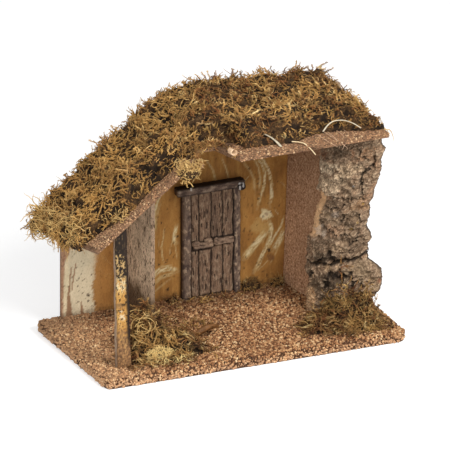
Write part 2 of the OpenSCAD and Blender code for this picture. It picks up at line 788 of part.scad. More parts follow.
module moss_column_foot() {
    mid = bark_corner + bark_along * (bark_w * bark_clump_shares[0])
        + bark_out * (bark_bulge * bark_clump_shares[1]);
    color([0.56, 0.46, 0.20])
        difference() {
            translate([mid[0], mid[1], floor_z + seat_gap])
                rotate([0, 0, bark_clump_turn])
                    clump(bark_clump_half[0], bark_clump_half[1], bark_moss_h, 0.6, 28, 7, [-0.15, 0.3]);
            translate(bark_corner)
                rotate([0, 0, -bark_turn])
                    linear_extrude(ridge_h)
                        polygon([for (s = [0:0.125:1])
                            [bark_w * blend(-0.08, 1.06, s),
                                -(bark_bulge * 4 * s * (1 - s) + bark_t * 0.3 + fissure_d)]]);
            translate(bark_corner)
                rotate([0, 0, -bark_turn])
                    translate([-base_depth, -(bark_t * 0.3 + fissure_d), 0])
                        cube([2 * base_depth, base_depth, ridge_h]);
            translate([right_x - cover_edge_t, -base_depth, 0])
                cube([base_depth, 2 * base_depth, ridge_h]);
            translate([-base_depth, front_y - base_depth + cover_edge_t, 0])
                cube([2 * base_len, base_depth, ridge_h]);
        }
}

// Tufts along the foot of the back wall, left and right of the door: place along the free stretch,
// half length as a share of it, and share of the full height
left_tuft_shares = [[0.79, 0.15, 0.6]];
right_tuft_shares = [[0.23, 0.3, 1], [0.82, 0.18, 0.85]];
wall_tuft_depth = 7;
wall_tuft_out = 4.2;

module wall_tufts(shares, from_x, to_x) {
    for (p = shares)
        translate([blend(from_x, to_x, p[0]), back_face_y - wall_tuft_out, floor_z + seat_gap])
            clump((to_x - from_x) * p[1], wall_tuft_depth, wall_moss_h * p[2], p[0], 14, 4);
}

module moss_wall_foot() {
    color([0.50, 0.42, 0.20])
        difference() {
            union() {
                wall_tufts(left_tuft_shares, partition_x + partition_t, door_x);
                wall_tufts(right_tuft_shares, door_x + door_w, corner_x);
            }
            translate([-base_len, back_face_y - seat_gap, 0])
                cube([2 * base_len, base_depth, ridge_h]);
            translate([door_x - seat_gap, back_face_y - base_depth, 0])
                cube([door_w + 2 * seat_gap, base_depth, ridge_h]);
            translate([corner_x - seat_gap, -base_depth, 0])
                cube([base_len, 2 * base_depth, ridge_h]);
        }
}

// Straws: points as shares of the level panel's length and the bare strip, from the roof's front
// left corner at the ridge
strip_top = ridge_h + roof_t;

flat_straw_shares = [[0.375, 0.95, 0], [0.39, 0.6, 0], [0.405, 0.25, 0], [0.418, -0.14, 0]];
hooked_straw_shares = [[0.53, 0.8, 0], [0.56, 0.5, 0], [0.585, 0.1, 0], [0.6, -0.2, -0.6],
    [0.615, -0.26, -2.6], [0.625, -0.26, -5.2]];
arched_straw_shares = [[0.69, 0.3, 0], [0.715, 0.35, 3], [0.74, 0.4, 5.5], [0.78, 0.35, 6.2],
    [0.82, 0.3, 5.8], [0.86, 0.2, 4], [0.9, 0.1, 0]];

// A straw's line: along the panel, across the bare strip and up in straw diameters
function straw_line(shares, thick) = [for (p = shares)
    [ridge_front_x + level_len * p[0], roof_front_y + bare_strip * p[1],
        strip_top + seat_gap + thick / 2 + straw_d * p[2]]];

module straw_flat() {
    color([0.72, 0.68, 0.58])
        stalk(straw_line(flat_straw_shares, straw_w / 4), straw_w, straw_w / 4, 8);
}

module straw_hooked() {
    color([0.82, 0.72, 0.56])
        stalk(straw_line(hooked_straw_shares, straw_d), straw_d, straw_d, 8);
}

module straw_arched() {
    color([0.80, 0.76, 0.64])
        stalk(straw_line(arched_straw_shares, straw_d), straw_d, straw_d, 8);
}

// A shaving of wood curled over the end of the level panel beside the notch
curl_r = 5;
curl_t = 0.8;
curl_w = 9;

module wood_curl() {
    color([0.80, 0.68, 0.54])
        translate([notch_x + notch_w - curl_r / 3, roof_front_y + bare_strip * 0.7,
            strip_top + seat_gap + curl_r])
            rotate([90, 0, 15])
                translate([0, 0, -curl_w / 2])
                    linear_extrude(curl_w)
                        difference() {
                            circle(curl_r, $fn = 40);
                            circle(curl_r - curl_t, $fn = 40);
                            rotate(20)
                                square([2 * curl_r, 2 * curl_r]);
                        }
}

module pins_base() {
    color([0.60, 0.60, 0.62])
        at_base_pins()
            pin();
}

module pins_roof_left() {
    color([0.60, 0.60, 0.62])
        at_left_pins()
            pin();
}

module pins_roof_right() {
    color([0.60, 0.60, 0.62])
        at_right_pins()
            pin();
}

base_board();
ground_cover();
back_wall();
partition_wall();
right_wall();
front_post();
roof_panel_left();
roof_panel_right();
door_relief();
bark_column_upper();
bark_column_foot();
moss_roof_left();
moss_roof_right();
moss_ridge_tuft();
moss_post_foot();
moss_column_foot();
moss_wall_foot();
straw_flat();
straw_hooked();
straw_arched();
wood_curl();
pins_base();
pins_roof_left();
pins_roof_right();
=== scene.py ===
"""Looks of the wooden nativity stable: moss, cork granulate, bark, painted walls and the relief door."""
import json
import math

import bpy
import numpy as np
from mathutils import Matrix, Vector, noise

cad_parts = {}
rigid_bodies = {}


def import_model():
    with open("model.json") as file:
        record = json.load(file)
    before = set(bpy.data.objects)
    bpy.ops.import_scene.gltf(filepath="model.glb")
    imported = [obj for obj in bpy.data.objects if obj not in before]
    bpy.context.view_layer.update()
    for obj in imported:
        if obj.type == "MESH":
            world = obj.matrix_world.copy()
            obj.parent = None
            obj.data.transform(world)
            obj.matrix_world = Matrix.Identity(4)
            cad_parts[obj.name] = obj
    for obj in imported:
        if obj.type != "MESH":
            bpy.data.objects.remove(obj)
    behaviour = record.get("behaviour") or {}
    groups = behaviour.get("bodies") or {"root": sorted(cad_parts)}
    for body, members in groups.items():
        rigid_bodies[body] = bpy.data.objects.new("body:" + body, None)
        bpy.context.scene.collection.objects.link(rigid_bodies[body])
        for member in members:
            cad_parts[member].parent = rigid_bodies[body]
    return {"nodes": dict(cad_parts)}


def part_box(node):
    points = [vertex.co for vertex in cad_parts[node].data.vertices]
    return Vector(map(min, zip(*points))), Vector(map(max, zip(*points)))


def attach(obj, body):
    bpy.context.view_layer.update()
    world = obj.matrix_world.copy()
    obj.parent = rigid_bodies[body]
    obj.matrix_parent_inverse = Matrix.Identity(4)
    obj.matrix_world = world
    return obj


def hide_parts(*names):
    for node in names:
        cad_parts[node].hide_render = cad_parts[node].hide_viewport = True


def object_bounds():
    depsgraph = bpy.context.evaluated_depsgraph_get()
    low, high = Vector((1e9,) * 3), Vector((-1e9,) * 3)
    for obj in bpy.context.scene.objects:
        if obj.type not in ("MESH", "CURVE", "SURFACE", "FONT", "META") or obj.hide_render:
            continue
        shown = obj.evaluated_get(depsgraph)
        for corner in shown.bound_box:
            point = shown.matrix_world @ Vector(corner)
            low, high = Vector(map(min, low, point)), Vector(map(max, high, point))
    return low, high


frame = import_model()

cad_box = [list(corner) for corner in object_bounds()]
nodes = frame["nodes"]
MM = 0.001

# The photograph's view: parallel rays from the front left and above
PHOTO_SIZE = 450
VIEW_AZIMUTH = math.radians(-23.66)
VIEW_ELEVATION = math.radians(22.05)
PX_PER_M = 934.0
ORIGIN_PX = np.array([221.4, 335.9])
CAMERA_DISTANCE = 2.2
VIEW_RIGHT = np.array([math.cos(VIEW_AZIMUTH), math.sin(VIEW_AZIMUTH), 0])
VIEW_BACK = np.array([
    math.sin(VIEW_AZIMUTH) * math.cos(VIEW_ELEVATION),
    -math.cos(VIEW_AZIMUTH) * math.cos(VIEW_ELEVATION),
    math.sin(VIEW_ELEVATION)])
VIEW_UP = np.cross(VIEW_BACK, VIEW_RIGHT)


def corners(node):
    """The lowest and highest corner of a CAD node."""
    return [np.array(corner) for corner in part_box(node)]


# Sizes of the construction, from its own boxes
base_low, base_high = corners("ground_cover")
wall_low, wall_high = corners("back_wall")
partition_low, partition_high = corners("partition_wall")
level_low, level_high = corners("roof_panel_right")
post_low, post_high = corners("front_post")
FLOOR_Z = base_high[2]
LEFT_X, FRONT_Y = base_low[:2]
BASE_CORNER = 8 * MM
WALL_Y = wall_low[1]
DOOR_TOP = corners("door_relief")[1][2]

# The roof: a level board on the right and a board that slopes down to the eave on the left
ROOF_FRONT = level_low[1]
ROOF_UNDER = level_low[2]
ROOF_TOP = level_high[2]
RIDGE_X = -70 * MM
EAVE_X = -176.5 * MM
EAVE_UNDER = 150 * MM
DROP_TO_BACK = 33 * MM
SLOPE_X = (ROOF_UNDER - EAVE_UNDER) / (RIDGE_X - EAVE_X)
SLOPE_Y = -DROP_TO_BACK / (level_high[1] - ROOF_FRONT)
BOARD_T = 5 * MM


def slope_under(x, y):
    """Height of the underside of the sloping roof."""
    return EAVE_UNDER + SLOPE_X * (x - EAVE_X) + SLOPE_Y * (y - ROOF_FRONT)


def to_photo(points):
    """The photograph's pixel coordinates of points, one row each."""
    points = np.asarray(points)
    across = points @ VIEW_RIGHT * PX_PER_M
    up = points @ VIEW_UP * PX_PER_M
    return np.stack([ORIGIN_PX[0] + across, ORIGIN_PX[1] - up], axis=-1)


def on_level(px, z):
    """The point at a height that shows at a place in the photograph."""
    across = (px[0] - ORIGIN_PX[0]) / PX_PER_M
    up = (ORIGIN_PX[1] - px[1]) / PX_PER_M - z * VIEW_UP[2]
    return np.append(np.linalg.solve(np.array([VIEW_RIGHT[:2], VIEW_UP[:2]]), [across, up]), z)


def on_slope(px, lift):
    """The point at a height over the sloping board's underside that shows at a place in the photograph."""
    low, high = (on_level(px, z) for z in (0.1, 0.2))
    gaps = [slope_under(p[0], p[1]) + lift - p[2] for p in (low, high)]
    return low + (high - low) * gaps[0] / (gaps[0] - gaps[1])


def on_front(px, y):
    """The point on an upright plane, parallel to the back wall, that shows at a place in the photograph."""
    x = ((px[0] - ORIGIN_PX[0]) / PX_PER_M - y * VIEW_RIGHT[1]) / VIEW_RIGHT[0]
    up = (ORIGIN_PX[1] - px[1]) / PX_PER_M
    return np.array([x, y, (up - x * VIEW_UP[0] - y * VIEW_UP[1]) / VIEW_UP[2]])


# Colours and noise

def linear(colour):
    """A colour given as a screen shows it, from 0 to 255, as linear light."""
    shares = [value / 255 for value in colour]
    return [s / 12.92 if s <= 0.04045 else ((s + 0.055) / 1.055) ** 2.4 for s in shares]


def coat(count, colour):
    """One colour on a number of points."""
    return np.tile(linear(colour), (count, 1))


def paint(tint, colour, share):
    """Lays a colour over a tint by a share, in place."""
    tint += (np.array(linear(colour)) - tint) * np.clip(share, 0, 1)[:, None]


def smooth_step(low, high, values):
    share = np.clip((values - low) / (high - low), 0, 1)
    return share * share * (3 - 2 * share)


def noise_at(points, size, seed=0.0, octaves=3):
    """Smooth noise from about -1 to 1 at points given in metres, with lumps of about that size."""
    offset = Vector((seed * 7.3, seed * 3.1, seed * 5.7))
    return np.array([
        noise.fractal(Vector(p) / size + offset, 0.7, 2.1, octaves) for p in np.asarray(points).tolist()])


def wobble(values, size, seed):
    """Noise along one direction."""
    return noise_at(np.column_stack([values, np.zeros(len(values)), np.zeros(len(values))]), size, seed)


def line_distance(points, line):
    """For 2-D points: distance from a line, share of its length at the nearest place, and signed distance."""
    line = np.asarray(line, float)
    lengths = np.linalg.norm(np.diff(line, axis=0), axis=1)
    run = np.concatenate([[0], np.cumsum(lengths)])
    best = np.full(len(points), np.inf)
    share = np.zeros(len(points))
    side = np.zeros(len(points))
    for i, length in enumerate(lengths):
        step = (line[i + 1] - line[i]) / length
        away = points - line[i]
        along = np.clip(away @ step, 0, length)
        gap = away - along[:, None] * step
        distance = np.linalg.norm(gap, axis=1)
        nearer = distance < best
        best = np.where(nearer, distance, best)
        share = np.where(nearer, (run[i] + along) / run[-1], share)
        side = np.where(nearer, gap[:, 0] * step[1] - gap[:, 1] * step[0], side)
    return best, share, side


def spot(px, centre, radii, seed=0.0, soft=0.5, ragged=0.3):
    """Cover of a ragged patch round a place in the photograph, from 0 to 1."""
    away = np.hypot((px[:, 0] - centre[0]) / radii[0], (px[:, 1] - centre[1]) / radii[1])
    cover = np.zeros(len(px))
    near = away < 2.2
    flat = np.column_stack([px[near], np.full(near.sum(), seed)])
    rag = noise_at(flat, 0.55 * (radii[0] + radii[1]), seed, 4) * ragged * 2
    cover[near] = smooth_step(1 + soft / 2, 1 - soft / 2, away[near] + rag)
    return cover


def stroke(px, line, width, seed=0.0, bristles=0.7):
    """Cover of a brush stroke along a line in the photograph: bristle marks run along it."""
    distance, share, side = line_distance(px, line)
    cover = np.zeros(len(px))
    near = distance < width * 1.3
    length = np.sum(np.linalg.norm(np.diff(np.asarray(line, float), axis=0), axis=1))
    marks = np.column_stack([side[near] / 0.55, share[near] * length / 9, np.full(near.sum(), seed * 3.7)])
    streaks = noise_at(marks, 1.0, seed, 3)
    ends = smooth_step(0, 0.12, share[near]) * smooth_step(1, 0.8, share[near])
    body = smooth_step(width * 0.55, width * 0.25, distance[near] * (1 + 0.5 * streaks))
    cover[near] = body * np.clip(0.75 + bristles * 1.6 * streaks, 0, 1) * (0.25 + 0.75 * ends)
    return cover


# Materials

class Value:
    """A socket of a node tree. Its operators add Math nodes."""

    def __init__(self, tree, socket):
        self.tree = tree
        self.socket = socket

    def beside(self, output):
        """Another output of the same node."""
        return Value(self.tree, self.socket.node.outputs[output])

    def maths(self, operation, *terms):
        return self.tree.node("ShaderNodeMath", {"operation": operation}, *terms)

    def __add__(self, other):
        return self.maths("ADD", self, other)

    def __sub__(self, other):
        return self.maths("SUBTRACT", self, other)

    def __rsub__(self, other):
        return self.maths("SUBTRACT", other, self)

    def __mul__(self, other):
        return self.maths("MULTIPLY", self, other)

    __radd__ = __add__
    __rmul__ = __mul__

    def over(self, low, high):
        """0 where this is below low, 1 above high and smooth between."""
        return self.tree.node("ShaderNodeMapRange", {"interpolation_type": "SMOOTHSTEP"}, self, low, high)

    def larger(self, other):
        return self.maths("MAXIMUM", self, other)

    def capped(self):
        return self.maths("MINIMUM", self.larger(0.0), 1.0)


class NodeTree:
    """A node tree, to which one method adds every node."""

    def __init__(self, tree):
        self.tree = tree

    def node(self, kind, settings, *inputs, output=0, **named):
        """Adds a node. Its settings are set first, then its sockets in order, past each None, or by name."""
        made = self.tree.nodes.new(kind)
        for key, value in settings.items():
            if key == "stops":
                self.set_stops(made.color_ramp, value)
            else:
                setattr(made, key, value)
        for socket, value in [*zip(made.inputs, inputs), *((made.inputs[key], named[key]) for key in named)]:
            self.feed(socket, value)
        return Value(self, made.outputs[output]) if len(made.outputs) else None

    def feed(self, socket, value):
        if isinstance(value, Value):
            self.tree.links.new(value.socket, socket)
        elif value is not None:
            socket.default_value = value

    def set_stops(self, ramp, stops):
        while len(ramp.elements) < len(stops):
            ramp.elements.new(0.5)
        for element, (place, colour) in zip(ramp.elements, stops):
            element.position = place
            element.color = shader_colour(colour)


def shader_colour(value):
    """Three numbers from 0 to 255 as a shader's colour. A link, or a colour in linear light, stays."""
    return (*linear(value), 1.0) if isinstance(value, tuple) and len(value) == 3 else value


class Finish(NodeTree):
    """A material and its node tree."""

    def __init__(self, name, roughness=0.9):
        self.material = bpy.data.materials.new(name)
        self.material.use_nodes = True
        super().__init__(self.material.node_tree)
        self.shader = self.tree.nodes["Principled BSDF"]
        self.set("Roughness", roughness)
        self.set("Specular IOR Level", 0.25)
        self.place = self.node("ShaderNodeTexCoord", {}, output="Object")

    def set(self, name, value):
        self.feed(self.shader.inputs[name], value)

    def along(self, axis):
        """The place along X, Y or Z, in metres."""
        return self.node("ShaderNodeSeparateXYZ", {}, self.place, output=axis)

    def stretched(self, x, y, z):
        """Object coordinates multiplied along each axis."""
        return self.node("ShaderNodeVectorMath", {"operation": "MULTIPLY"}, self.place, (x, y, z))

    def grain(self, size, detail=3.0, rough=0.55, place=None, twist=0.0):
        """Noise with lumps of about that size in metres, from 0 to 1."""
        return self.node(
            "ShaderNodeTexNoise", {}, Vector=place or self.place, Scale=1 / size, Detail=detail,
            Roughness=rough, Distortion=twist)

    def read(self, name, output="Fac"):
        """An attribute of the mesh, as a number or a colour."""
        return self.node("ShaderNodeAttribute", {"attribute_name": name}, output=output)

    def ramp(self, value, *stops):
        return self.node("ShaderNodeValToRGB", {"stops": stops}, value)

    def mix(self, share, first, second, way="MIX"):
        """Second over first by a share. Past its factor, a Mix node has five sockets for other kinds."""
        return self.node(
            "ShaderNodeMix", {"data_type": "RGBA", "blend_type": way}, share, *[None] * 5,
            shader_colour(first), shader_colour(second), output=2)

    def layers(self, base, *more):
        """Colours laid over a base one after the other, each given as (share, colour)."""
        for share, colour in more:
            base = self.mix(share, base, colour)
        return base

    def dimmed(self, share, colour, factors):
        """A colour that is multiplied by three factors where the share is 1."""
        return self.mix(share, colour, self.mix(1.0, colour, (*factors, 1.0), "MULTIPLY"))

    def bump(self, height, depth):
        """Relief from a height of 0 to 1 that stands for a depth in metres."""
        self.set("Normal", self.node("ShaderNodeBump", {}, Strength=1.0, Distance=depth, Height=height))


def tinted_finish(name, size, stretch, depth, roughness=0.9, weak=0.55):
    """A painted surface: the mesh's own tint, broken up by a fine grain."""
    finish = Finish(name, roughness)
    place = finish.stretched(*stretch)
    fine = finish.grain(size, 4.0, 0.62, place)
    broad = finish.grain(size * 9, 3.0, 0.6, place)
    grey = [(share, (value, value, value, 1)) for share, value in ((0.3, weak), (0.5, 0.92), (0.68, 1.0))]
    shaded = finish.mix(1.0, finish.read("tint", "Color"), finish.ramp(fine, *grey), "MULTIPLY")
    finish.set("Base Color", finish.dimmed(broad.over(0.62, 0.3) * 0.25, shaded, (0.6, 0.58, 0.55)))
    finish.bump(fine, depth)
    return finish


# Meshes

def mesh_piece(name, points, faces, finish, smooth=True, **attributes):
    """A mesh object at the origin from points in metres, with its finish and point attributes."""
    mesh = bpy.data.meshes.new(name)
    mesh.from_pydata(np.asarray(points).tolist(), [], [[int(i) for i in face] for face in faces])
    for key, values in attributes.items():
        values = np.asarray(values, np.float32)
        kind, field = ("FLOAT_VECTOR", "vector") if values.ndim == 2 else ("FLOAT", "value")
        mesh.attributes.new(key, kind, "POINT").data.foreach_set(field, values.ravel())
    mesh.polygons.foreach_set("use_smooth", [smooth] * len(mesh.polygons))
    mesh.validate()
    piece = bpy.data.objects.new(name, mesh)
    bpy.context.scene.collection.objects.link(piece)
    if finish:
        mesh.materials.append(finish.material)
    return piece


def settle(piece, slot, *replaced):
    """The piece rides on the stable and stands for CAD nodes. Its slot is not used."""
    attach(piece, "root")
    if replaced:
        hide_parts(*replaced)


def solid_piece(name, points, faces, finish, slot, *replaced, **attributes):
    """A settled piece: a closed solid with its faces turned outwards."""
    settle(mesh_piece(name, points, outward(points, faces), finish, **attributes), slot, *replaced)


def coat_with(piece, finish):
    piece.data.materials.clear()
    piece.data.materials.append(finish.material)


def grid_faces(rows, columns, wrap=False, start=0):
    """Quads of a grid of points, row after row. With wrap, the last column joins the first."""
    ends = columns if wrap else columns - 1
    row, column = np.meshgrid(np.arange(rows - 1), np.arange(ends), indexing="ij")
    a = row * columns + column
    b = row * columns + (column + 1) % columns
    return np.stack([a, b, b + columns, a + columns], axis=-1).reshape(-1, 4) + start


def closed_rings(rows, around, flat=False):
    """Faces of a solid from rings of points. A ring that lies flat has its end closed by quads."""
    ends = [list(reversed(range(around)))]
    if flat:
        ends = [[around - 1 - i, around - 2 - i, i + 1, i] for i in range(around // 2 - 1)]
    last = (rows - 1) * around
    far_ends = [[last + i for i in reversed(end)] for end in ends]
    return grid_faces(rows, around, wrap=True).tolist() + ends + far_ends


def backed_grid(front, back_of):
    """A closed solid from a grid of front points: its edge is joined to the same edge moved back."""
    rows, columns = front.shape[:2]
    edge = np.concatenate([
        np.arange(columns), columns * np.arange(2, rows + 1) - 1,
        rows * columns - 2 - np.arange(columns - 1), columns * np.arange(rows - 2, 0, -1)])
    points = front.reshape(-1, 3)
    count, turns = len(points), len(edge)
    faces = grid_faces(rows, columns).tolist()
    for i, k in zip(range(turns), [*range(1, turns), 0]):
        faces.append([int(edge[k]), int(edge[i]), count + i, count + k])
    faces.append([count + i for i in reversed(range(turns))])
    return np.concatenate([points, back_of(points[edge])]), faces


def outward(points, faces):
    """The faces, turned so that their normals point out of the solid they close."""
    fans = np.array([(face[0], face[i], face[i + 1]) for face in faces for i in range(1, len(face) - 1)])
    first, second, third = (np.asarray(points)[fans[:, k]] for k in range(3))
    volume = np.sum(first * np.cross(second, third))
    return faces if volume > 0 else [list(reversed(face)) for face in faces]


def tube(points, radii, sides=3, flat=1.0):
    """Points and faces of a closed tube along a line."""
    points = np.asarray(points, float)
    steps = np.gradient(points, axis=0)
    steps /= np.linalg.norm(steps, axis=1)[:, None]
    side = np.cross(steps, [0.3, 0.2, 1.0])
    side /= np.linalg.norm(side, axis=1)[:, None]
    top = np.cross(side, steps)
    turn = np.arange(sides) * 2 * np.pi / sides
    ring = np.cos(turn)[None, :, None] * side[:, None] + flat * np.sin(turn)[None, :, None] * top[:, None]
    rings = points[:, None] + ring * np.asarray(radii)[:, None, None]
    last = (len(points) - 1) * sides
    quads = grid_faces(len(points), sides, wrap=True)
    faces = [[a, b, c] for a, b, c, d in quads] + [[a, c, d] for a, b, c, d in quads]
    faces += [[0, i + 1, i] for i in range(1, sides - 1)]
    faces += [[last, last + i, last + i + 1] for i in range(1, sides - 1)]
    return rings.reshape(-1, 3), faces


def join(parts):
    """One set of points and faces from several solids, each given as (points, faces)."""
    points, faces, count = [], [], 0
    for more, shape in parts:
        points.append(more)
        faces += [[i + count for i in face] for face in shape]
        count += len(more)
    return np.concatenate(points), faces


def curve(points, count=24):
    """A smooth line through points."""
    points = np.asarray(points, float)
    run = np.concatenate([[0], np.cumsum(np.linalg.norm(np.diff(points, axis=0), axis=1))])
    places = np.linspace(0, run[-1], count)
    line = np.column_stack([np.interp(places, run, points[:, k]) for k in range(3)])
    for _ in range(3):
        line[1:-1] = (line[:-2] + 2 * line[1:-1] + line[2:]) / 4
    return line


def rounded_bar(low, high, corner, seed, rough, step=0.8 * MM):
    """A bar with worn edges, as a closed net of points and faces. It lies along X."""
    low, high = np.array(low), np.array(high)
    middle, half = (low + high) / 2, (high - low) / 2
    count = max(6, int((high[0] - low[0]) / step))
    around = 40
    turn = np.arange(around) * 2 * np.pi / around
    c, s = np.cos(turn), np.sin(turn)
    square = 1 / np.maximum(np.abs(c), np.abs(s)) ** 0.82
    rings = []
    for i in range(count + 1):
        x = -1 + 2 * i / count
        shrink = min(1.0, (1 - abs(x)) * half[0] / corner) ** 0.5 if abs(x) < 1 else 0.0
        shrink = 1 - (1 - shrink) * corner / min(half[1], half[2]) * 0.9
        ring = np.column_stack([
            np.full(around, x * half[0]), c * square * half[1] * shrink, s * square * half[2] * shrink])
        rings.append(ring + middle)
    points = np.concatenate(rings)
    away = points - middle
    away[:, 0] *= 0.1
    away /= np.linalg.norm(away, axis=1)[:, None] + 1e-9
    points = points + away * (noise_at(points * [0.35, 1, 1], 3 * MM, seed, 4) * rough)[:, None]
    return points, closed_rings(count + 1, around)


def ball(centre, radius, seed, rough, turns=28):
    """A lumpy ball."""
    rings = []
    turn = np.arange(turns) * 2 * np.pi / turns
    for j in range(1, turns // 2):
        tilt = math.pi * j / (turns // 2)
        rings.append(np.column_stack([
            math.sin(tilt) * np.cos(turn), math.sin(tilt) * np.sin(turn), np.full(turns, -math.cos(tilt))]))
    points = np.concatenate(rings)
    points = centre + points * (radius + noise_at(points, 0.6, seed) * rough)[:, None]
    return points, closed_rings(len(rings), turns)


def bake_modifiers(piece):
    """The evaluated mesh of a piece as a plain mesh, in place of its modifiers."""
    graph = bpy.context.evaluated_depsgraph_get()
    made = bpy.data.meshes.new_from_object(
        piece.evaluated_get(graph), preserve_all_data_layers=True, depsgraph=graph)
    piece.modifiers.clear()
    old = piece.data
    piece.data = made
    bpy.data.meshes.remove(old)
    return piece


def mesh_arrays(mesh):
    """Points and normals of a mesh."""
    points = np.empty(len(mesh.vertices) * 3)
    normals = np.empty(len(mesh.vertices) * 3)
    mesh.vertices.foreach_get("co", points)
    mesh.vertices.foreach_get("normal", normals)
    return points.reshape(-1, 3), normals.reshape(-1, 3)


def node_copy(name, node):
    """A merged copy of a CAD node's mesh."""
    mesh = nodes[node].data.copy()
    mesh.name = name
    piece = bpy.data.objects.new(name, mesh)
    bpy.context.scene.collection.objects.link(piece)
    weld = piece.modifiers.new("Weld", "WELD")
    weld.merge_threshold = 0.01 * MM
    return bake_modifiers(piece)


# Scattering on a surface

# The heading drifts with a noise of this scale, by up to this angle in radians
DRIFT_SCALE = 30.0
DRIFT_TURN = 16.0
# Nothing that is strewn reaches lower than this over the ground
LEAST_HEIGHT = 0.3 * MM


def scatter_tree():
    """A geometry tree that strews pieces over a surface, turned and sized at random."""
    group = bpy.data.node_groups.new("Strew over a surface", "GeometryNodeTree")
    group.is_modifier = True
    for name, kind in (
            ("Geometry", "Geometry"), ("Pieces", "Collection"), ("Density", "Float"), ("Seed", "Int"),
            ("Smallest", "Float"), ("Largest", "Float"), ("Tilt", "Float"), ("Swing", "Float"),
            ("Material", "Material")):
        group.interface.new_socket(name, in_out="INPUT", socket_type="NodeSocket" + kind)
    group.interface.new_socket("Geometry", in_out="OUTPUT", socket_type="NodeSocketGeometry")
    node = NodeTree(group).node
    given = node("NodeGroupInput", {})
    seed, tilt, swing = (given.beside(name) for name in ("Seed", "Tilt", "Swing"))

    share = node("GeometryNodeInputNamedAttribute", {"data_type": "FLOAT"}, "density")
    spots = node("GeometryNodeDistributePointsOnFaces", {}, Mesh=given.beside("Geometry"),
                 Density=given.beside("Density") * share, Seed=seed)
    low = node("ShaderNodeCombineXYZ", {}, tilt * -1.0, tilt * -1.0, swing * -1.0)
    high = node("ShaderNodeCombineXYZ", {}, tilt, tilt, swing)
    angles = node("FunctionNodeRandomValue", {"data_type": "FLOAT_VECTOR"}, low, high, Seed=seed)
    place = node("GeometryNodeInputPosition", {})
    drift = node("ShaderNodeTexNoise", {}, Vector=place, Scale=DRIFT_SCALE, Detail=1.0)
    about = node("ShaderNodeCombineXYZ", {}, 0.0, 0.0, drift * DRIFT_TURN)
    turned = node("ShaderNodeVectorMath", {"operation": "ADD"}, angles, about)
    turn = node("FunctionNodeEulerToRotation", {}, turned)
    facing = node("FunctionNodeRotateRotation", {"rotation_space": "LOCAL"}, spots.beside("Rotation"), turn)

    shapes = node("GeometryNodeCollectionInfo", {}, given.beside("Pieces"),
                  **{"Separate Children": True, "Reset Children": True})
    size = node("FunctionNodeRandomValue", {"data_type": "FLOAT"}, None, None, given.beside("Smallest"),
                given.beside("Largest"), Seed=11, output=1)
    pick = node("FunctionNodeRandomValue", {"data_type": "INT"}, *[None] * 4, 0, 1000, Seed=23, output=2)
    tone = node("FunctionNodeRandomValue", {"data_type": "FLOAT"}, None, None, 0.0, 1.0, Seed=37, output=1)
    strewn = node("GeometryNodeInstanceOnPoints", {}, Points=spots.beside("Points"), Instance=shapes,
                  Rotation=facing, Scale=size, **{"Pick Instance": True, "Instance Index": pick})
    marked = node("GeometryNodeStoreNamedAttribute", {"data_type": "FLOAT", "domain": "INSTANCE"},
                  Geometry=strewn, Name="tone", Value=tone)
    real = node("GeometryNodeRealizeInstances", {}, marked)
    painted = node("GeometryNodeSetMaterial", {}, Geometry=real, Material=given.beside("Material"))
    node("NodeGroupOutput", {}, painted)
    return group


STREW = scatter_tree()


def strew(name, surface, shapes, finish, slot, density, seed, sizes, tilt, swing=math.pi):
    """A settled piece of shapes strewn over a surface, at a number of them per square metre.

    Their heading drifts over the surface, and each swings off it to both sides by up to an angle.
    """
    piece = bpy.data.objects.new(name, surface.data.copy())
    bpy.context.scene.collection.objects.link(piece)
    change = piece.modifiers.new("Strew", "NODES")
    change.node_group = STREW
    keys = {item.name: item.identifier for item in STREW.interface.items_tree if item.in_out == "INPUT"}
    for key, value in (("Pieces", shapes), ("Density", float(density)), ("Seed", seed),
                       ("Smallest", sizes[0]), ("Largest", sizes[1]), ("Tilt", tilt), ("Swing", swing),
                       ("Material", finish.material)):
        change[keys[key]] = value
    bake_modifiers(piece)
    places = np.empty(len(piece.data.vertices) * 3)
    piece.data.vertices.foreach_get("co", places)
    places[2::3] = np.maximum(places[2::3], LEAST_HEIGHT)
    piece.data.vertices.foreach_set("co", places)
    settle(piece, slot)


def per_area(number, surface):
    """The density at which a number of shapes covers a surface."""
    return number / sum(face.area for face in surface.data.polygons)


def shape_set(name, meshes):
    """A collection of small shapes for strewing. Each is given as (points, faces, attributes)."""
    group = bpy.data.collections.new(name)
    bpy.context.scene.collection.children.link(group)
    for i, (points, faces, attributes) in enumerate(meshes):
        shape = mesh_piece(f"{name}_{i}", points, faces, None, **attributes)
        bpy.context.scene.collection.objects.unlink(shape)
        group.objects.link(shape)
    return group


def clear_away(*things):
    """Removes helper surfaces and shape sets."""
    for thing in things:
        if isinstance(thing, bpy.types.Collection):
            for shape in list(thing.objects):
                bpy.data.objects.remove(shape)
            bpy.data.collections.remove(thing)
        else:
            bpy.data.objects.remove(thing)


# Moss

STRAND_STEP = 1.5 * MM
STRAND_R = 0.62 * MM
LEAF_R = 0.52 * MM
# How far loose strands may stand out of the construction's box
REACH_OUT = np.array([19, 14, 17]) * MM


def curly_line(rng, start, heading, steps, curl):
    """A line that curls: its heading turns about an axis that itself drifts."""
    axis = rng.normal(size=3)
    line = [np.array(start, float)]
    heading = np.array(heading, float)
    for _ in range(steps):
        axis = axis * 0.8 + rng.normal(size=3) * 0.6
        spin = axis / np.linalg.norm(axis) * curl
        heading = heading + np.cross(spin, heading)
        heading /= np.linalg.norm(heading)
        line.append(line[-1] + heading * STRAND_STEP)
    return np.array(line)


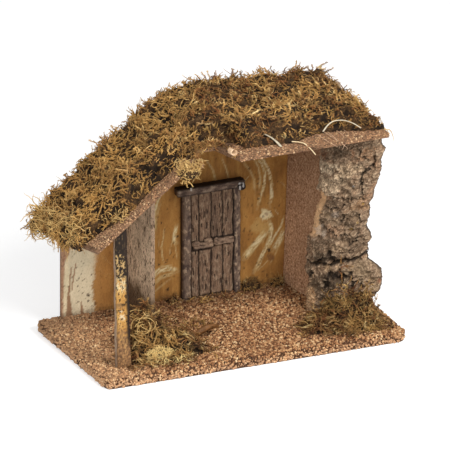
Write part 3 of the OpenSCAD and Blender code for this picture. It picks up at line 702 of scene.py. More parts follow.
def spike(start, heading, reach, radius):
    """Points and faces of a thin pointed leaf."""
    side = np.cross(heading, [0.31, 0.17, 0.93])
    side /= np.linalg.norm(side)
    top = np.cross(heading, side)
    turn = np.arange(3) * 2 * np.pi / 3
    ring = start + radius * (np.cos(turn)[:, None] * side + np.sin(turn)[:, None] * top)
    points = np.concatenate([ring, [start + heading * reach]])
    return points, [[0, 1, 3], [1, 2, 3], [2, 0, 3], [0, 2, 1]]


def moss_shape(strands, leaves=()):
    """Moss of strands (points, radius, first reach) and leaves (start, heading, length, reach)."""
    parts, reach = [], []
    for line, radius, first in strands:
        share = np.linspace(0, 1, len(line))
        parts.append(tube(line, radius * (1 - 0.7 * share ** 2)))
        reach.append(np.repeat(first + (1 - first) * share, 3))
    for start, heading, length, share in leaves:
        parts.append(spike(start, heading, length, LEAF_R))
        reach.append([share] * 3 + [min(share + 0.35, 1.0)])
    points, faces = join(parts)
    return points, faces, {"reach": np.concatenate(reach)}


def frond(rng, low, high, press):
    """A feathery sprig: a creeping stem with short leaves on both sides, pressed down by a share."""
    slant = math.radians(rng.uniform(low, high))
    heading = (math.cos(slant), 0, math.sin(slant))
    stem = curly_line(rng, (0, 0, -1 * MM), heading, 12, rng.uniform(0.12, 0.42))
    stem[:, 2] = np.abs(stem[:, 2] + 1 * MM) * press - 1 * MM
    flat = rng.normal(size=3) * 0.35 + [0, 0, 1]
    leaves = []
    for spot in range(2, 12):
        along = stem[spot + 1] - stem[spot]
        along /= np.linalg.norm(along)
        side = np.cross(along, flat)
        side /= np.linalg.norm(side)
        for way in (-1, 1) if spot % 3 else (-1 if spot % 2 else 1,):
            heading = along * 0.7 + side * way * 0.7 + rng.normal(size=3) * 0.18
            leaves.append((stem[spot], heading / np.linalg.norm(heading),
                           rng.uniform(2.2, 3.8) * MM * (1.15 - 0.04 * spot), spot / 12))
    return moss_shape([(stem[::2], STRAND_R, 0.0)], leaves)


def curl(rng):
    """A single strand that winds."""
    slant = math.radians(rng.uniform(5, 55))
    heading = (math.cos(slant), 0, math.sin(slant))
    line = curly_line(rng, (0, 0, -2 * MM), heading, 12, rng.uniform(0.2, 0.5))
    return moss_shape([(line, 0.8 * STRAND_R, 0.2)])


def tuft(rng):
    """A few short strands from one root."""
    strands = []
    for _ in range(4):
        slant, turn = math.radians(rng.uniform(25, 80)), rng.uniform(-1.4, 1.4)
        heading = (math.cos(slant) * math.cos(turn), math.cos(slant) * math.sin(turn), math.sin(slant))
        line = curly_line(rng, (0, 0, -1 * MM), heading, 5, rng.uniform(0.3, 0.7))
        strands.append((line, 0.8 * STRAND_R, 0.1))
    return moss_shape(strands)


def moss_finish(name, pale):
    """Dried moss: brown and rust to olive, with pale tips and painted shade near the ground. Pale is a share
    of straw yellow.
    """
    finish = Finish(name, roughness=0.85)
    tone, reach = finish.read("tone"), finish.read("reach")
    side, height = finish.along("X"), finish.along("Z")
    region = finish.grain(34 * MM, 2.0)
    area = finish.grain(19 * MM, 3.0, 0.6, finish.stretched(1, 1, 1.4))
    fleck = finish.grain(13 * MM, 3.0)
    kind = (tone - 0.5) * 0.7 + (fleck - 0.5) * 2.4 + 0.5
    own = finish.ramp(
        kind.capped(), (0.0, (58, 37, 19)), (0.18, (106, 68, 36)), (0.34, (152, 98, 54)),
        (0.48, (158, 108, 62)), (0.62, (150, 116, 62)), (0.76, (202, 156, 92)), (0.9, (230, 190, 124)),
        (1.0, (246, 216, 154)))
    golden = region.over(0.49, 0.38) * 0.42 + side.over(0.0, -0.13) * height.over(0.06, 0.12) * 0.36
    # Painted shade: the moss is darker near the ground, more so on the right.
    foot_shade = height.over(0.08, 0.05) * (side.over(0.02, 0.06) * 0.12 + 0.22)
    finish.set("Base Color", finish.layers(
        own,
        (region.over(0.5, 0.6) * 0.65, (120, 66, 36)),
        (area.over(0.45, 0.34) * 0.5, (114, 100, 50)),
        (area.over(0.52, 0.64) * 0.72, (56, 35, 19)),
        (golden, (222, 172, 98)),
        (foot_shade, (60, 38, 20)),
        (pale, (248, 220, 150)),
        (reach.over(0.5, 1.0) * 0.3, (214, 174, 106)),
        (reach.over(0.4, 0.0) * 0.7, (44, 30, 16))))
    return finish


def peat_and_shade_finish():
    """The dense dark inside of the moss, with painted shade that makes it nearly black in its hollows."""
    finish = Finish("Moss inside", roughness=0.95)
    fibres = finish.grain(1.8 * MM, 5.0, 0.7, twist=1.2)
    colour = finish.ramp(
        fibres, (0.32, (26, 17, 9)), (0.52, (74, 52, 30)), (0.7, (124, 92, 54)))
    # Painted shade: the hollows of the lumpy body, where its swell is low, go nearly black.
    hollow = finish.read("swell").over(0.1, -0.35)
    finish.set("Base Color", finish.mix(hollow * 0.8, colour, (24, 16, 9)))
    finish.bump(fibres, 2 * MM)
    return finish


MOSS = moss_finish("Dried moss", 0.0)
PALE_MOSS = moss_finish("Pale moss", 0.3)
FRINGE_MOSS = moss_finish("Golden moss", 0.3)
BRIGHT_MOSS = moss_finish("Bright moss", 0.8)
PEAT_AND_SHADE = peat_and_shade_finish()


def lump_body(body, shrink, lump, lump_size, seed, front=0.0):
    """Lumps a body's mesh, thins out the moss in its hollows, pulls its front back and gives it the dark
    inside finish, whose hollows carry painted shade.
    """
    points, normals = mesh_arrays(body.data)
    broad = noise_at(points, lump_size, seed, 2)
    fine = noise_at(points, lump_size / 2.6, seed + 5, 2)
    swell = broad + 0.5 * fine
    free = smooth_step(-0.75, -0.15, normals[:, 2])
    pull = front * smooth_step(0.2, 0.8, -normals[:, 1])
    points = points + normals * ((swell * lump - shrink - pull) * free)[:, None]
    body.data.vertices.foreach_set("co", points.ravel())
    growth = np.clip(0.72 + 1.25 * swell, 0.16, 1) * smooth_step(-0.95, -0.6, normals[:, 2])
    near = np.zeros(len(points))
    if front:
        column = np.round(points[:, 0] / (5 * MM)).astype(int)
        column -= column.min()
        first = np.full(column.max() + 1, 1.0)
        np.minimum.at(first, column, points[:, 1])
        near = smooth_step(19 * MM, 12 * MM, points[:, 1] - first[column])
    for key, values in (("density", growth * (1 - near)), ("edge", growth * near), ("swell", swell)):
        body.data.attributes.new(key, "FLOAT", "POINT").data.foreach_set("value", values.astype(np.float32))
    body.data.polygons.foreach_set("use_smooth", [True] * len(body.data.polygons))
    coat_with(body, PEAT_AND_SHADE)
    body.data.update()


def grow_moss(node, slot, finish, layers, shrink, lump, lump_size, seed, spread=40, front=0.0):
    """A moss piece: its dense inside, with layers of sprigs given as (shapes, number, sizes).

    A piece with a front is pulled back there by that distance, and its last layer grows on that edge only.
    """
    body = node_copy(node + "_body", node)
    change = body.modifiers.new("Even net", "REMESH")
    change.mode = "VOXEL"
    change.voxel_size = 2.4 * MM
    bake_modifiers(body)
    lump_body(body, shrink, lump, lump_size, seed, front)
    settle(body, slot, node)
    for layer, (shapes, number, sizes) in enumerate(layers):
        if front and layer == len(layers) - 1:
            body.data.attributes.remove(body.data.attributes["density"])
            body.data.attributes["edge"].name = "density"
        strew(f"{node}_strands_{layer + 1}", body, shapes, finish, slot, per_area(number, body),
              seed * 10 + layer, sizes, math.radians(spread), 0.9)


def mound(node, outline, hills, number, seed):
    """An open tangle of moss on the ground: a low dark middle under sprigs that stand all ways.

    The outline and the hills, each a middle and a height and width in mm, are places in the photograph on
    the ground.
    """
    around, out, core = 72, 20, 14
    inset = 7 * MM
    rim = np.array([on_level(px, FLOOR_Z)[:2] for px in outline])
    rim = np.clip(rim, [-1, FRONT_Y + inset], [-LEFT_X - inset, 1])
    middle = rim.mean(axis=0)
    away = rim - middle
    angle = np.arctan2(away[:, 1], away[:, 0])
    order = np.argsort(angle)
    turn = np.linspace(-np.pi, np.pi, around + 1)[:-1]
    reach = np.interp(turn, angle[order], np.hypot(*away[order].T), period=2 * np.pi)
    reach = reach * (1 + 0.12 * np.sin(5 * turn + seed) + 0.08 * np.sin(11 * turn + 2 * seed))
    rings = np.linspace(0.05, 1.0, out)[:, None]
    x, y = middle[0] + rings * reach * np.cos(turn), middle[1] + rings * reach * np.sin(turn)
    height = np.full(x.shape, 5.0)
    for px, high, wide in hills:
        top = on_level(px, FLOOR_Z)
        height = np.maximum(height, high * np.exp(-np.hypot(x - top[0], y - top[1]) ** 2 / (wide * MM) ** 2))
    flat = np.column_stack([x.ravel(), y.ravel(), np.zeros(x.size)])
    lumps = noise_at(flat, 12 * MM, seed, 3).reshape(x.shape)
    height = height * (1 + 0.5 * lumps) * smooth_step(1.0, 0.55, rings)
    top = np.stack([x, y, FLOOR_Z + height * MM], axis=-1)
    thinner_out = np.repeat(smooth_step(1.15, 0.5, rings.ravel()), around)
    growth = thinner_out * np.clip(0.7 + 1.4 * lumps.ravel(), 0.15, 1)
    sheet = mesh_piece(
        node + "_sheet", top.reshape(-1, 3), grid_faces(out, around, wrap=True), None, density=growth)
    inner = top[:core].copy()
    sunk = height[:core] - 4.5 * smooth_step(0.2, 0.65, rings[:core]) - 1.5
    inner[..., 2] = FLOOR_Z + np.maximum(sunk, 0.4) * MM
    under = inner[::-1].copy()
    under[..., 2] = FLOOR_Z + 0.2 * MM
    points = np.concatenate([inner, under]).reshape(-1, 3)
    # The low swell lays painted shade over the whole dark middle of the mound.
    solid_piece(node + "_body", points, closed_rings(2 * core, around), PEAT_AND_SHADE, "dried_moss", node,
                swell=-0.2 * np.ones(len(points)))
    for part, (shapes, share, sizes, tilt) in enumerate((
            (SPRIGS, 1.0, (0.45, 1.0), 0.5), (CURLS, 0.45, (0.5, 1.2), 0.9), (TUFTS, 0.3, (0.5, 1.1), 0.9))):
        strew(f"{node}_strands_{part + 1}", sheet, shapes, MOSS, "dried_moss",
              per_area(number * share, sheet), seed * 10 + part, sizes, tilt)
    clear_away(sheet)


def litter(name, corners, number, sizes, seed, depth=None):
    """Low sprigs on the ground, or on an upright plane at a depth, between four places in the photograph."""
    across, up = 12, 5
    a, b, c, d = (on_front(px, depth) if depth else on_level(px, FLOOR_Z + 1.2 * MM) for px in corners)
    u, v = (values[..., None] for values in np.meshgrid(np.linspace(0, 1, across), np.linspace(0, 1, up)))
    net = ((a * (1 - u) + b * u) * (1 - v) + (d * (1 - u) + c * u) * v).reshape(-1, 3)
    patchy = np.clip(0.4 + 2 * noise_at(net, 12 * MM, seed), 0, 1)
    sheet = mesh_piece(name + "_sheet", net, grid_faces(up, across), None, density=patchy)
    if sheet.data.polygons[0].normal.dot((0, -1, 1)) < 0:
        sheet.data.flip_normals()
    strew(name, sheet, SPRIGS, MOSS, "dried_moss", per_area(number, sheet), seed, sizes, 0.3)
    clear_away(sheet)


def pale_cushion():
    """The bright dense cushion at the front of the clump beside the post."""
    middle = on_level((160, 355), FLOOR_Z + 5 * MM)
    points, faces = ball(np.zeros(3), 1.0, 17, 0.12, turns=36)
    points = points * np.array([16, 8.5, 7.5]) * MM
    c, s = math.cos(math.radians(8)), math.sin(math.radians(8))
    points = np.column_stack([
        points[:, 0] * c - points[:, 1] * s, points[:, 0] * s + points[:, 1] * c, points[:, 2]]) + middle
    body = mesh_piece("pale_cushion_body", points, outward(points, faces), PEAT_AND_SHADE)
    lump_body(body, 1 * MM, 1.2 * MM, 7 * MM, 18)
    settle(body, "dried_moss")
    for part, number in enumerate((480, 320)):
        strew(f"pale_cushion_{part + 1}", body, TUFTS, BRIGHT_MOSS, "dried_moss", per_area(number, body),
              180 + part, (0.35, 0.7), 0.9)


def loose_strands(name, roots, heading, steps, finish, seed, spread=0.35, radius=0.75, slot="dried_moss"):
    """Single strands that wind away from their roots, kept near the stable."""
    rng = np.random.default_rng(seed)
    low, high = np.array(cad_box[0]) - REACH_OUT, np.array(cad_box[1]) + REACH_OUT
    strands, tone = [], []
    for root in roots:
        way = np.array(heading, float) + rng.normal(size=3) * spread
        line = curly_line(rng, root, way / np.linalg.norm(way), rng.integers(*steps), rng.uniform(0.2, 0.65))
        if (line > low).all() and (line < high).all():
            strands.append((line, radius * STRAND_R, 0.2))
            tone.append(np.full(3 * len(line), rng.uniform(0, 1)))
    points, faces, attributes = moss_shape(strands)
    settle(mesh_piece(name, points, faces, finish, tone=np.concatenate(tone), **attributes), slot)


def make_fringes():
    """Curls that hang out past the eave, and strands over the notch and the front of the moss."""
    rng = np.random.default_rng(31)
    roots = []
    for _ in range(420):
        share = rng.uniform(0, 1) ** 0.75
        y = (-38 + 128 * share) * MM
        rise = rng.uniform(-2, 26) * MM
        x = EAVE_X - rng.uniform(1, 9) * MM + 0.3 * rise
        roots.append((x, y, slope_under(EAVE_X, y) + 4 * MM + rise))
    loose_strands("eave_fringe", roots, (-1, -0.15, 0.1), (8, 17), FRINGE_MOSS, 32, 1.0, 0.85)
    roots = []
    for _ in range(300):
        x = rng.uniform(-60, -11) * MM
        back = smooth_step(-60, -46, x / MM) * smooth_step(-9, -19, x / MM)
        y = ROOF_FRONT + (42 * back + rng.uniform(0, 4)) * MM
        roots.append((x, y, ROOF_TOP + rng.uniform(1, 7) * MM))
    loose_strands("notch_fringe", roots, (0, -0.75, -0.55), (5, 9), MOSS, 33)
    roots = [on_front((rng.uniform(176, 202), rng.uniform(158, 168)), ROOF_FRONT - 2 * MM)
             for _ in range(110)]
    loose_strands("ridge_fringe", roots, (0.1, -0.25, -0.8), (3, 8), PALE_MOSS, 34, 0.5, 0.7, "pale_moss")
    roots = []
    for _ in range(170):
        share = rng.uniform(0, 1)
        x, y = (-172 + 104 * share) * MM, rng.uniform(76, 90) * MM
        roots.append((x, y, slope_under(x, y) + (15 + 4 * rng.uniform(0, 1)) * MM))
    loose_strands("back_wisps", roots, (-0.5, 0.3, 0.5), (6, 14), FRINGE_MOSS, 35, 0.5, 0.8)
    roots = [on_slope((rng.uniform(82, 126), rng.uniform(204, 222)), rng.uniform(10, 17) * MM)
             for _ in range(260)]
    roots = [root for root in roots if root[1] > ROOF_FRONT + 3 * MM]
    loose_strands("slope_fringe", roots, (0.75, -0.1, 0.25), (4, 8), FRINGE_MOSS, 36, 0.7, 0.8)
    roots = [on_level((x, y), FLOOR_Z + rng.uniform(1, 5) * MM)
             for x, y in zip(rng.uniform(150, 190, 150), rng.uniform(350, 363, 150))]
    loose_strands("cushion_strands", roots, (0.4, -0.2, 0.5), (3, 8), BRIGHT_MOSS, 37, 0.8, 0.7)


def make_moss():
    """The roof's moss, the clumps at the post and the column, and what lies and hangs between them."""
    roof = [(SPRIGS, 1900, (0.4, 0.8)), (SPRIGS, 1900, (0.45, 0.9)), (SPRIGS, 1900, (0.5, 1.0)),
            (SPRIGS, 1700, (0.55, 1.15)), (CURLS, 1000, (0.6, 1.3)), (SPRIGS, 8000, (0.3, 0.6))]
    grow_moss("moss_roof_right", "dried_moss", MOSS, roof, 3.4 * MM, 4.2 * MM, 13 * MM, 1, 18, 8 * MM)
    grow_moss("moss_roof_left", "dried_moss", MOSS, roof, 3.4 * MM, 4.4 * MM, 14 * MM, 2, 18, 8 * MM)
    mound("moss_post_foot", [(124, 367), (150, 370), (180, 368), (199, 362), (212, 353), (203, 341),
                             (180, 336), (150, 338), (124, 345), (112, 354)],
          [((142, 352), 40, 17), ((152, 344), 42, 16), ((166, 352), 24, 15), ((182, 350), 24, 16),
           ((198, 350), 16, 14)], 1500, 3)
    mound("moss_column_foot", [(286, 328), (302, 335), (322, 340), (350, 340), (376, 337), (393, 330),
                               (395, 320), (384, 308), (360, 306), (330, 310), (304, 316)],
          [((350, 322), 32, 20), ((366, 321), 31, 17), ((338, 322), 27, 17), ((318, 327), 15, 18),
           ((385, 320), 22, 13)], 1600, 4)
    bark = -62 * MM
    for name, places, number, sizes, seed, depth in (
            ("behind_post", [(158, 314), (212, 320), (208, 340), (164, 338)], 190, (0.4, 0.9), 46, None),
            ("climbing_moss", [(339, 264), (350, 263), (356, 294), (336, 296)], 90, (0.35, 0.7), 44, bark),
            ("hanging_moss", [(362, 283), (376, 286), (378, 302), (364, 300)], 50, (0.3, 0.6), 45, bark),
            ("by_door", [(152, 299.5), (236, 287.5), (240, 297), (160, 311)], 190, (0.35, 0.75), 41, None),
            ("by_partition", [(133, 308), (150, 306), (156, 312), (130, 318)], 110, (0.4, 0.8), 42, None),
            ("by_wall", [(250, 284), (286, 278), (290, 284), (254, 291)], 60, (0.25, 0.5), 43, None)):
        litter(name if depth else "litter_" + name, places, number, sizes, seed, depth)
    foot, ridge = [(SPRIGS, 420, (0.3, 0.55))], [(SPRIGS, 170, (0.3, 0.7))]
    grow_moss("moss_wall_foot", "dried_moss", MOSS, foot, 2.5 * MM, 1 * MM, 6 * MM, 5)
    grow_moss("moss_ridge_tuft", "pale_moss", PALE_MOSS, ridge, 1 * MM, 1 * MM, 6 * MM, 6)
    pale_cushion()
    make_fringes()


# Cork granulate

GRAIN_R = 1.02 * MM
# Grains per square metre on the ground, on the base's edges and on the roof boards' edges
GROUND_GRAINS = 150000
EDGE_GRAINS = 300000
ROOF_GRAINS = 190000


def cork_grain(rng):
    """A crumb of cork: a block with its corners pushed about."""
    corners = np.array([[x, y, z] for z in (-1, 1) for y in (-1, 1) for x in (-1, 1)], float)
    corners *= rng.uniform(0.55, 1.0, size=3)
    corners += rng.normal(size=(8, 3)) * 0.22
    quads = [[0, 2, 3, 1], [4, 5, 7, 6], [0, 1, 5, 4], [2, 6, 7, 3], [0, 4, 6, 2], [1, 3, 7, 5]]
    return corners * GRAIN_R, quads, {}


def granulate_finish(name, pale):
    """Cork crumbs, browner at the back and lighter on the left, with painted light at the rim. Pale is a
    share of dust.
    """
    finish = Finish(name, roughness=0.95)
    region = finish.grain(28 * MM, 2.0)
    colour = finish.ramp(
        finish.read("tone"), (0.0, (54, 33, 20)), (0.16, (102, 66, 42)), (0.4, (156, 110, 72)),
        (0.68, (188, 139, 95)), (0.88, (212, 170, 122)), (1.0, (234, 202, 156)))
    finish.set("Base Color", finish.layers(
        colour,
        (region.over(0.35, 0.7) * 0.3, (140, 95, 64)),
        (finish.along("Y").over(0.03, 0.08) * 0.62, (92, 60, 36)),
        (finish.along("X").over(-0.1, -0.16) * 0.2, (240, 196, 150)),
        # Painted light: the grains round the base's edge, below its top, are lighter.
        (finish.along("Z").over(0.011, 0.003) * 0.38, (230, 186, 146)),
        (pale, (148, 118, 94))))
    return finish


def ground_finish():
    """The glue that the grains stick to, with crumbs pressed into it."""
    finish = Finish("Glue coat under the granulate", roughness=0.95)
    crumbs = finish.node("ShaderNodeTexVoronoi", {}, Vector=finish.place, Scale=1 / (1.9 * MM))
    colour = finish.ramp(
        finish.grain(2 * MM, 2.0), (0.3, (62, 40, 26)), (0.55, (112, 78, 54)), (0.75, (158, 118, 86)))
    finish.set("Base Color", finish.mix(crumbs.over(0.3, 0.7) * 0.7, colour, (52, 34, 22)))
    finish.bump(1 - crumbs, 1 * MM)
    return finish


def near_walls(x, y):
    """Height of the heap of granulate against the feet of the walls, at places on the base."""
    to_back = np.where(x > wall_low[0], np.abs(WALL_Y - y), 1)
    middle = (partition_low[0] + partition_high[0]) / 2
    to_middle = np.where(y > partition_low[1], np.abs(x - middle), 1)
    return 2.6 * MM * np.exp(-np.minimum(to_back, to_middle) / (5 * MM))


def ground_sheet():
    """The surface that the granulate lies on: the top of the base, with heaps at the walls."""
    spacing = 4 * MM
    inset = 1.2 * MM
    xs, ys = (np.linspace(low + inset, high - inset, int((high - low) / spacing))
              for low, high in zip(base_low[:2], base_high[:2]))
    x, y = (values.ravel() for values in np.meshgrid(xs, ys))
    out_x = np.maximum(np.abs(x) - (base_high[0] - BASE_CORNER), 0)
    out_y = np.maximum(np.abs(y) - (base_high[1] - BASE_CORNER), 0)
    inside = (np.hypot(out_x, out_y) < BASE_CORNER).astype(float)
    points = np.stack([x, y, FLOOR_Z - 0.8 * MM + near_walls(x, y)], axis=-1)
    return mesh_piece("ground_sheet", points, grid_faces(len(ys), len(xs)), None, density=inside)


def edge_sheet():
    """A band round the edges of the base for the granulate there."""
    aside = 1e-6
    outline = []
    for turn in np.linspace(0, 2 * np.pi, 65)[:-1]:
        centre = np.sign([math.cos(turn + aside), math.sin(turn + aside)]) * (base_high[:2] - BASE_CORNER)
        outline.append(centre + BASE_CORNER * np.array([math.cos(turn), math.sin(turn)]))
    rows = np.linspace(1.2 * MM, FLOOR_Z - 1.0 * MM, 4)
    points = np.concatenate([np.column_stack([outline, np.full(len(outline), z)]) for z in rows])
    return mesh_piece("edge_sheet", points, grid_faces(len(rows), len(outline), wrap=True), None,
                      density=np.ones(len(points)))


def make_granulate():
    """The glue coat in place of the CAD's layer, and the grains on its top and round its edges."""
    coat_piece = node_copy("glue_coat", "ground_cover")
    points, _ = mesh_arrays(coat_piece.data)
    points[points[:, 2] > FLOOR_Z - 0.1 * MM, 2] -= 1.1 * MM
    points[:, :2] *= 1 - 0.7 * MM / base_high[:2]
    coat_piece.data.vertices.foreach_set("co", points.ravel())
    coat_with(coat_piece, ground_finish())
    coat_piece.data.update()
    settle(coat_piece, "cork_granulate", "ground_cover")
    crumbs = granulate_finish("Cork granulate", 0.0)
    sheet, edge = ground_sheet(), edge_sheet()
    for name, surface, density, seed, sizes in (
            ("cork_granulate_1", sheet, GROUND_GRAINS, 61, (0.5, 1.35)),
            ("cork_granulate_2", sheet, GROUND_GRAINS, 62, (0.6, 1.5)),
            ("cork_granulate_edge", edge, EDGE_GRAINS, 63, (0.55, 1.3))):
        strew(name, surface, GRAINS, crumbs, "cork_granulate", density, seed, sizes, math.pi)
    clear_away(sheet, edge)


# Boards and walls

def board_finish(name, dark, light, along, stretched=0.22, front=None):
    """Raw fibreboard with wavy streaks along X, Y or Z. Its front edge, up to a place along Y, and its foot
    are darker with painted shade, and its lowest part is dark soil with painted shade.
    """
    finish = Finish(name, roughness=0.9)
    stretch = [1.0, 1.0, 1.0]
    stretch[along] = stretched
    streak = finish.grain(2.6 * MM, 5.0, 0.62, finish.stretched(*stretch), 1.2)
    patch = finish.grain(30 * MM, 3.0)
    fibre = finish.grain(0.9 * MM, 3.0, 0.6)
    colour = finish.layers(
        finish.ramp(streak, (0.4, dark), (0.5, light), (0.56, light), (0.67, dark)),
        (fibre.over(0.56, 0.7) * 0.35, dark),
        (patch.over(0.45, 0.75) * 0.4, dark))
    if front:
        # Painted shade on the front edge and towards the foot, then soil and painted shade at the very foot.
        up = finish.along("Z")
        shade = finish.along("Y").over(front + 0.3 * MM, front - 0.3 * MM) + up.over(0.075, 0.02) * 0.75
        soil_and_shade = (up + (patch - 0.5) * 0.05).over(0.056, 0.036) * 0.86
        colour = finish.mix(soil_and_shade, finish.dimmed(shade.capped(), colour, (0.5, 0.46, 0.44)),
                            finish.mix(fibre.over(0.42, 0.62), (38, 25, 14), (104, 76, 46)))
    finish.set("Base Color", colour)
    finish.bump(streak + fibre * 0.4, 0.5 * MM)
    return finish


def speckled_board():
    """The inner side of the right wall: pressed fibres with pale and dark specks, and painted shade that dims
    it towards the roof.
    """
    finish = Finish("Speckled side board", roughness=0.9)
    speck = finish.grain(2.3 * MM, 4.0, 0.75)
    patch = finish.grain(20 * MM, 3.0)
    colour = finish.ramp(
        speck, (0.3, (92, 62, 42)), (0.46, (164, 124, 94)), (0.58, (200, 158, 122)), (0.7, (240, 208, 172)))
    shaded = finish.mix(patch.over(0.4, 0.7) * 0.35, colour, (128, 94, 68))
    # Painted shade: dimmer towards the roof.
    finish.set("Base Color", finish.dimmed(
        finish.along("Z").over(0.06, 0.21) * 0.8, shaded, (0.62, 0.6, 0.58)))
    finish.bump(speck, 0.5 * MM)
    return finish


CREAM = (208, 182, 128)
FRESH_CREAM = (226, 208, 166)
# Strokes on the back wall in the photograph: cover, width and line
ROOM_STROKES = [
    (1.0, 4.4, [(165, 189), (157.9, 199), (155, 210), (153.8, 221), (154.2, 232)]),
    (0.5, 2.4, [(161, 200), (157.4, 214), (156, 225), (155.5, 238)]),
    (0.7, 1.7, [(164.4, 228), (162.9, 240), (161.3, 247), (162.5, 257), (165, 264)]),
    (0.35, 1.2, [(158.2, 236), (158.8, 247)]),
    (0.95, 4.4, [(177, 225), (174.5, 234), (173.9, 241), (177, 243)]),
    (0.6, 1.2, [(172.6, 241), (170.6, 247), (170.2, 257)]),
    (0.6, 1.6, [(174.5, 241), (176, 250), (177, 259)]),
    (0.95, 5.6, [(151.5, 278), (158.5, 271), (168, 268.5), (179.5, 270.5)]),
    (0.7, 2.4, [(152, 274), (161.3, 267), (172, 265)]),
    (0.65, 4.5, [(151.5, 287), (160.4, 277.5), (176, 272.5)]),
    (0.35, 2.4, [(151.5, 294), (163, 284.5), (172, 278)]),
    (1.0, 4.0, [(258, 156), (263.5, 160.5), (267.5, 167.5), (270, 176), (271.6, 185), (271.6, 196.5),
                (269.6, 208)]),
    (0.9, 3.4, [(256, 157), (261.6, 163.5), (264.7, 172), (265, 179), (263.8, 187), (260, 198),
                (256.8, 209)]),
    (0.7, 2.4, [(254, 158), (258.7, 168), (260.3, 179), (258.7, 192)]),
    (0.5, 3.0, [(243, 162), (250, 170.5), (254.5, 180.5), (254.6, 196)]),
    (0.7, 1.2, [(244.8, 180.8), (249.2, 175.6)]),
    (1.0, 5.0, [(269, 219), (271.4, 228), (270, 238), (266.6, 247), (261.9, 255.5), (258.2, 264.7),
                 (253.4, 272.4)]),
    (0.6, 1.6, [(270.4, 227), (266, 236), (262, 244.5)]),
    (1.0, 7.0, [(266.4, 231), (261, 237), (255, 244.5), (249, 251.5), (243, 258.5)]),
    (0.6, 1.8, [(262, 240), (254, 250), (246.5, 260)]),
    (0.95, 2.6, [(284, 216), (280.8, 226), (274, 237), (268, 249)]),
    (1.0, 6.5, [(284.5, 230), (279, 241), (272.6, 250.5)]),
    (0.6, 1.6, [(281, 241), (274.9, 254.5), (269.6, 264.5)]),
    (0.55, 1.2, [(269, 259.6), (257, 271.4)]),
    (0.8, 1.2, [(274.7, 209.6), (280, 217)]),
    (0.5, 1.1, [(280, 182), (284, 184.6), (286.6, 189.6)]),
    (0.6, 2.4, [(206, 160), (213, 170), (216, 182)]),
    (0.6, 2.0, [(222, 158), (226, 168), (229, 180)])]
LEAN_TO_STROKES = [
    (0.55, 1.6, [(104, 255), (107.4, 260.6), (112, 265)]),
    (0.55, 1.8, [(97.4, 265), (101, 270.8), (105, 275), (112, 273)]),
    (0.4, 1.4, [(100, 252), (103, 258), (108, 263)])]
# Dark flecks on the wall: place and half width
FLECKS = [
    (157.5, 217, 0.6), (161.3, 202.7, 0.5), (161.7, 223, 0.8), (158.8, 264.4, 0.9), (177.4, 236.3, 1.0),
    (167.9, 289.3, 1.4), (164.2, 276, 0.8), (258.2, 178.7, 0.7), (262.4, 183.8, 0.7), (257.9, 198.6, 1.0),
    (278, 181.4, 0.8), (263.3, 216.4, 0.8), (250.3, 231.4, 0.5), (268.4, 250.2, 1.9), (256.4, 263.3, 0.7),
    (243.9, 268, 0.9), (81, 274, 0.7), (78.7, 278.2, 0.8), (77.8, 286.1, 0.6), (79, 291.2, 0.5),
    (88.2, 295, 1.5), (88.2, 300.8, 0.9), (95.4, 304, 1.4), (76, 303.4, 0.7), (78.4, 302, 0.7),
    (87.6, 280.3, 0.5), (91.8, 275, 0.6), (83.2, 263.4, 0.5), (74.6, 253.8, 0.5)]


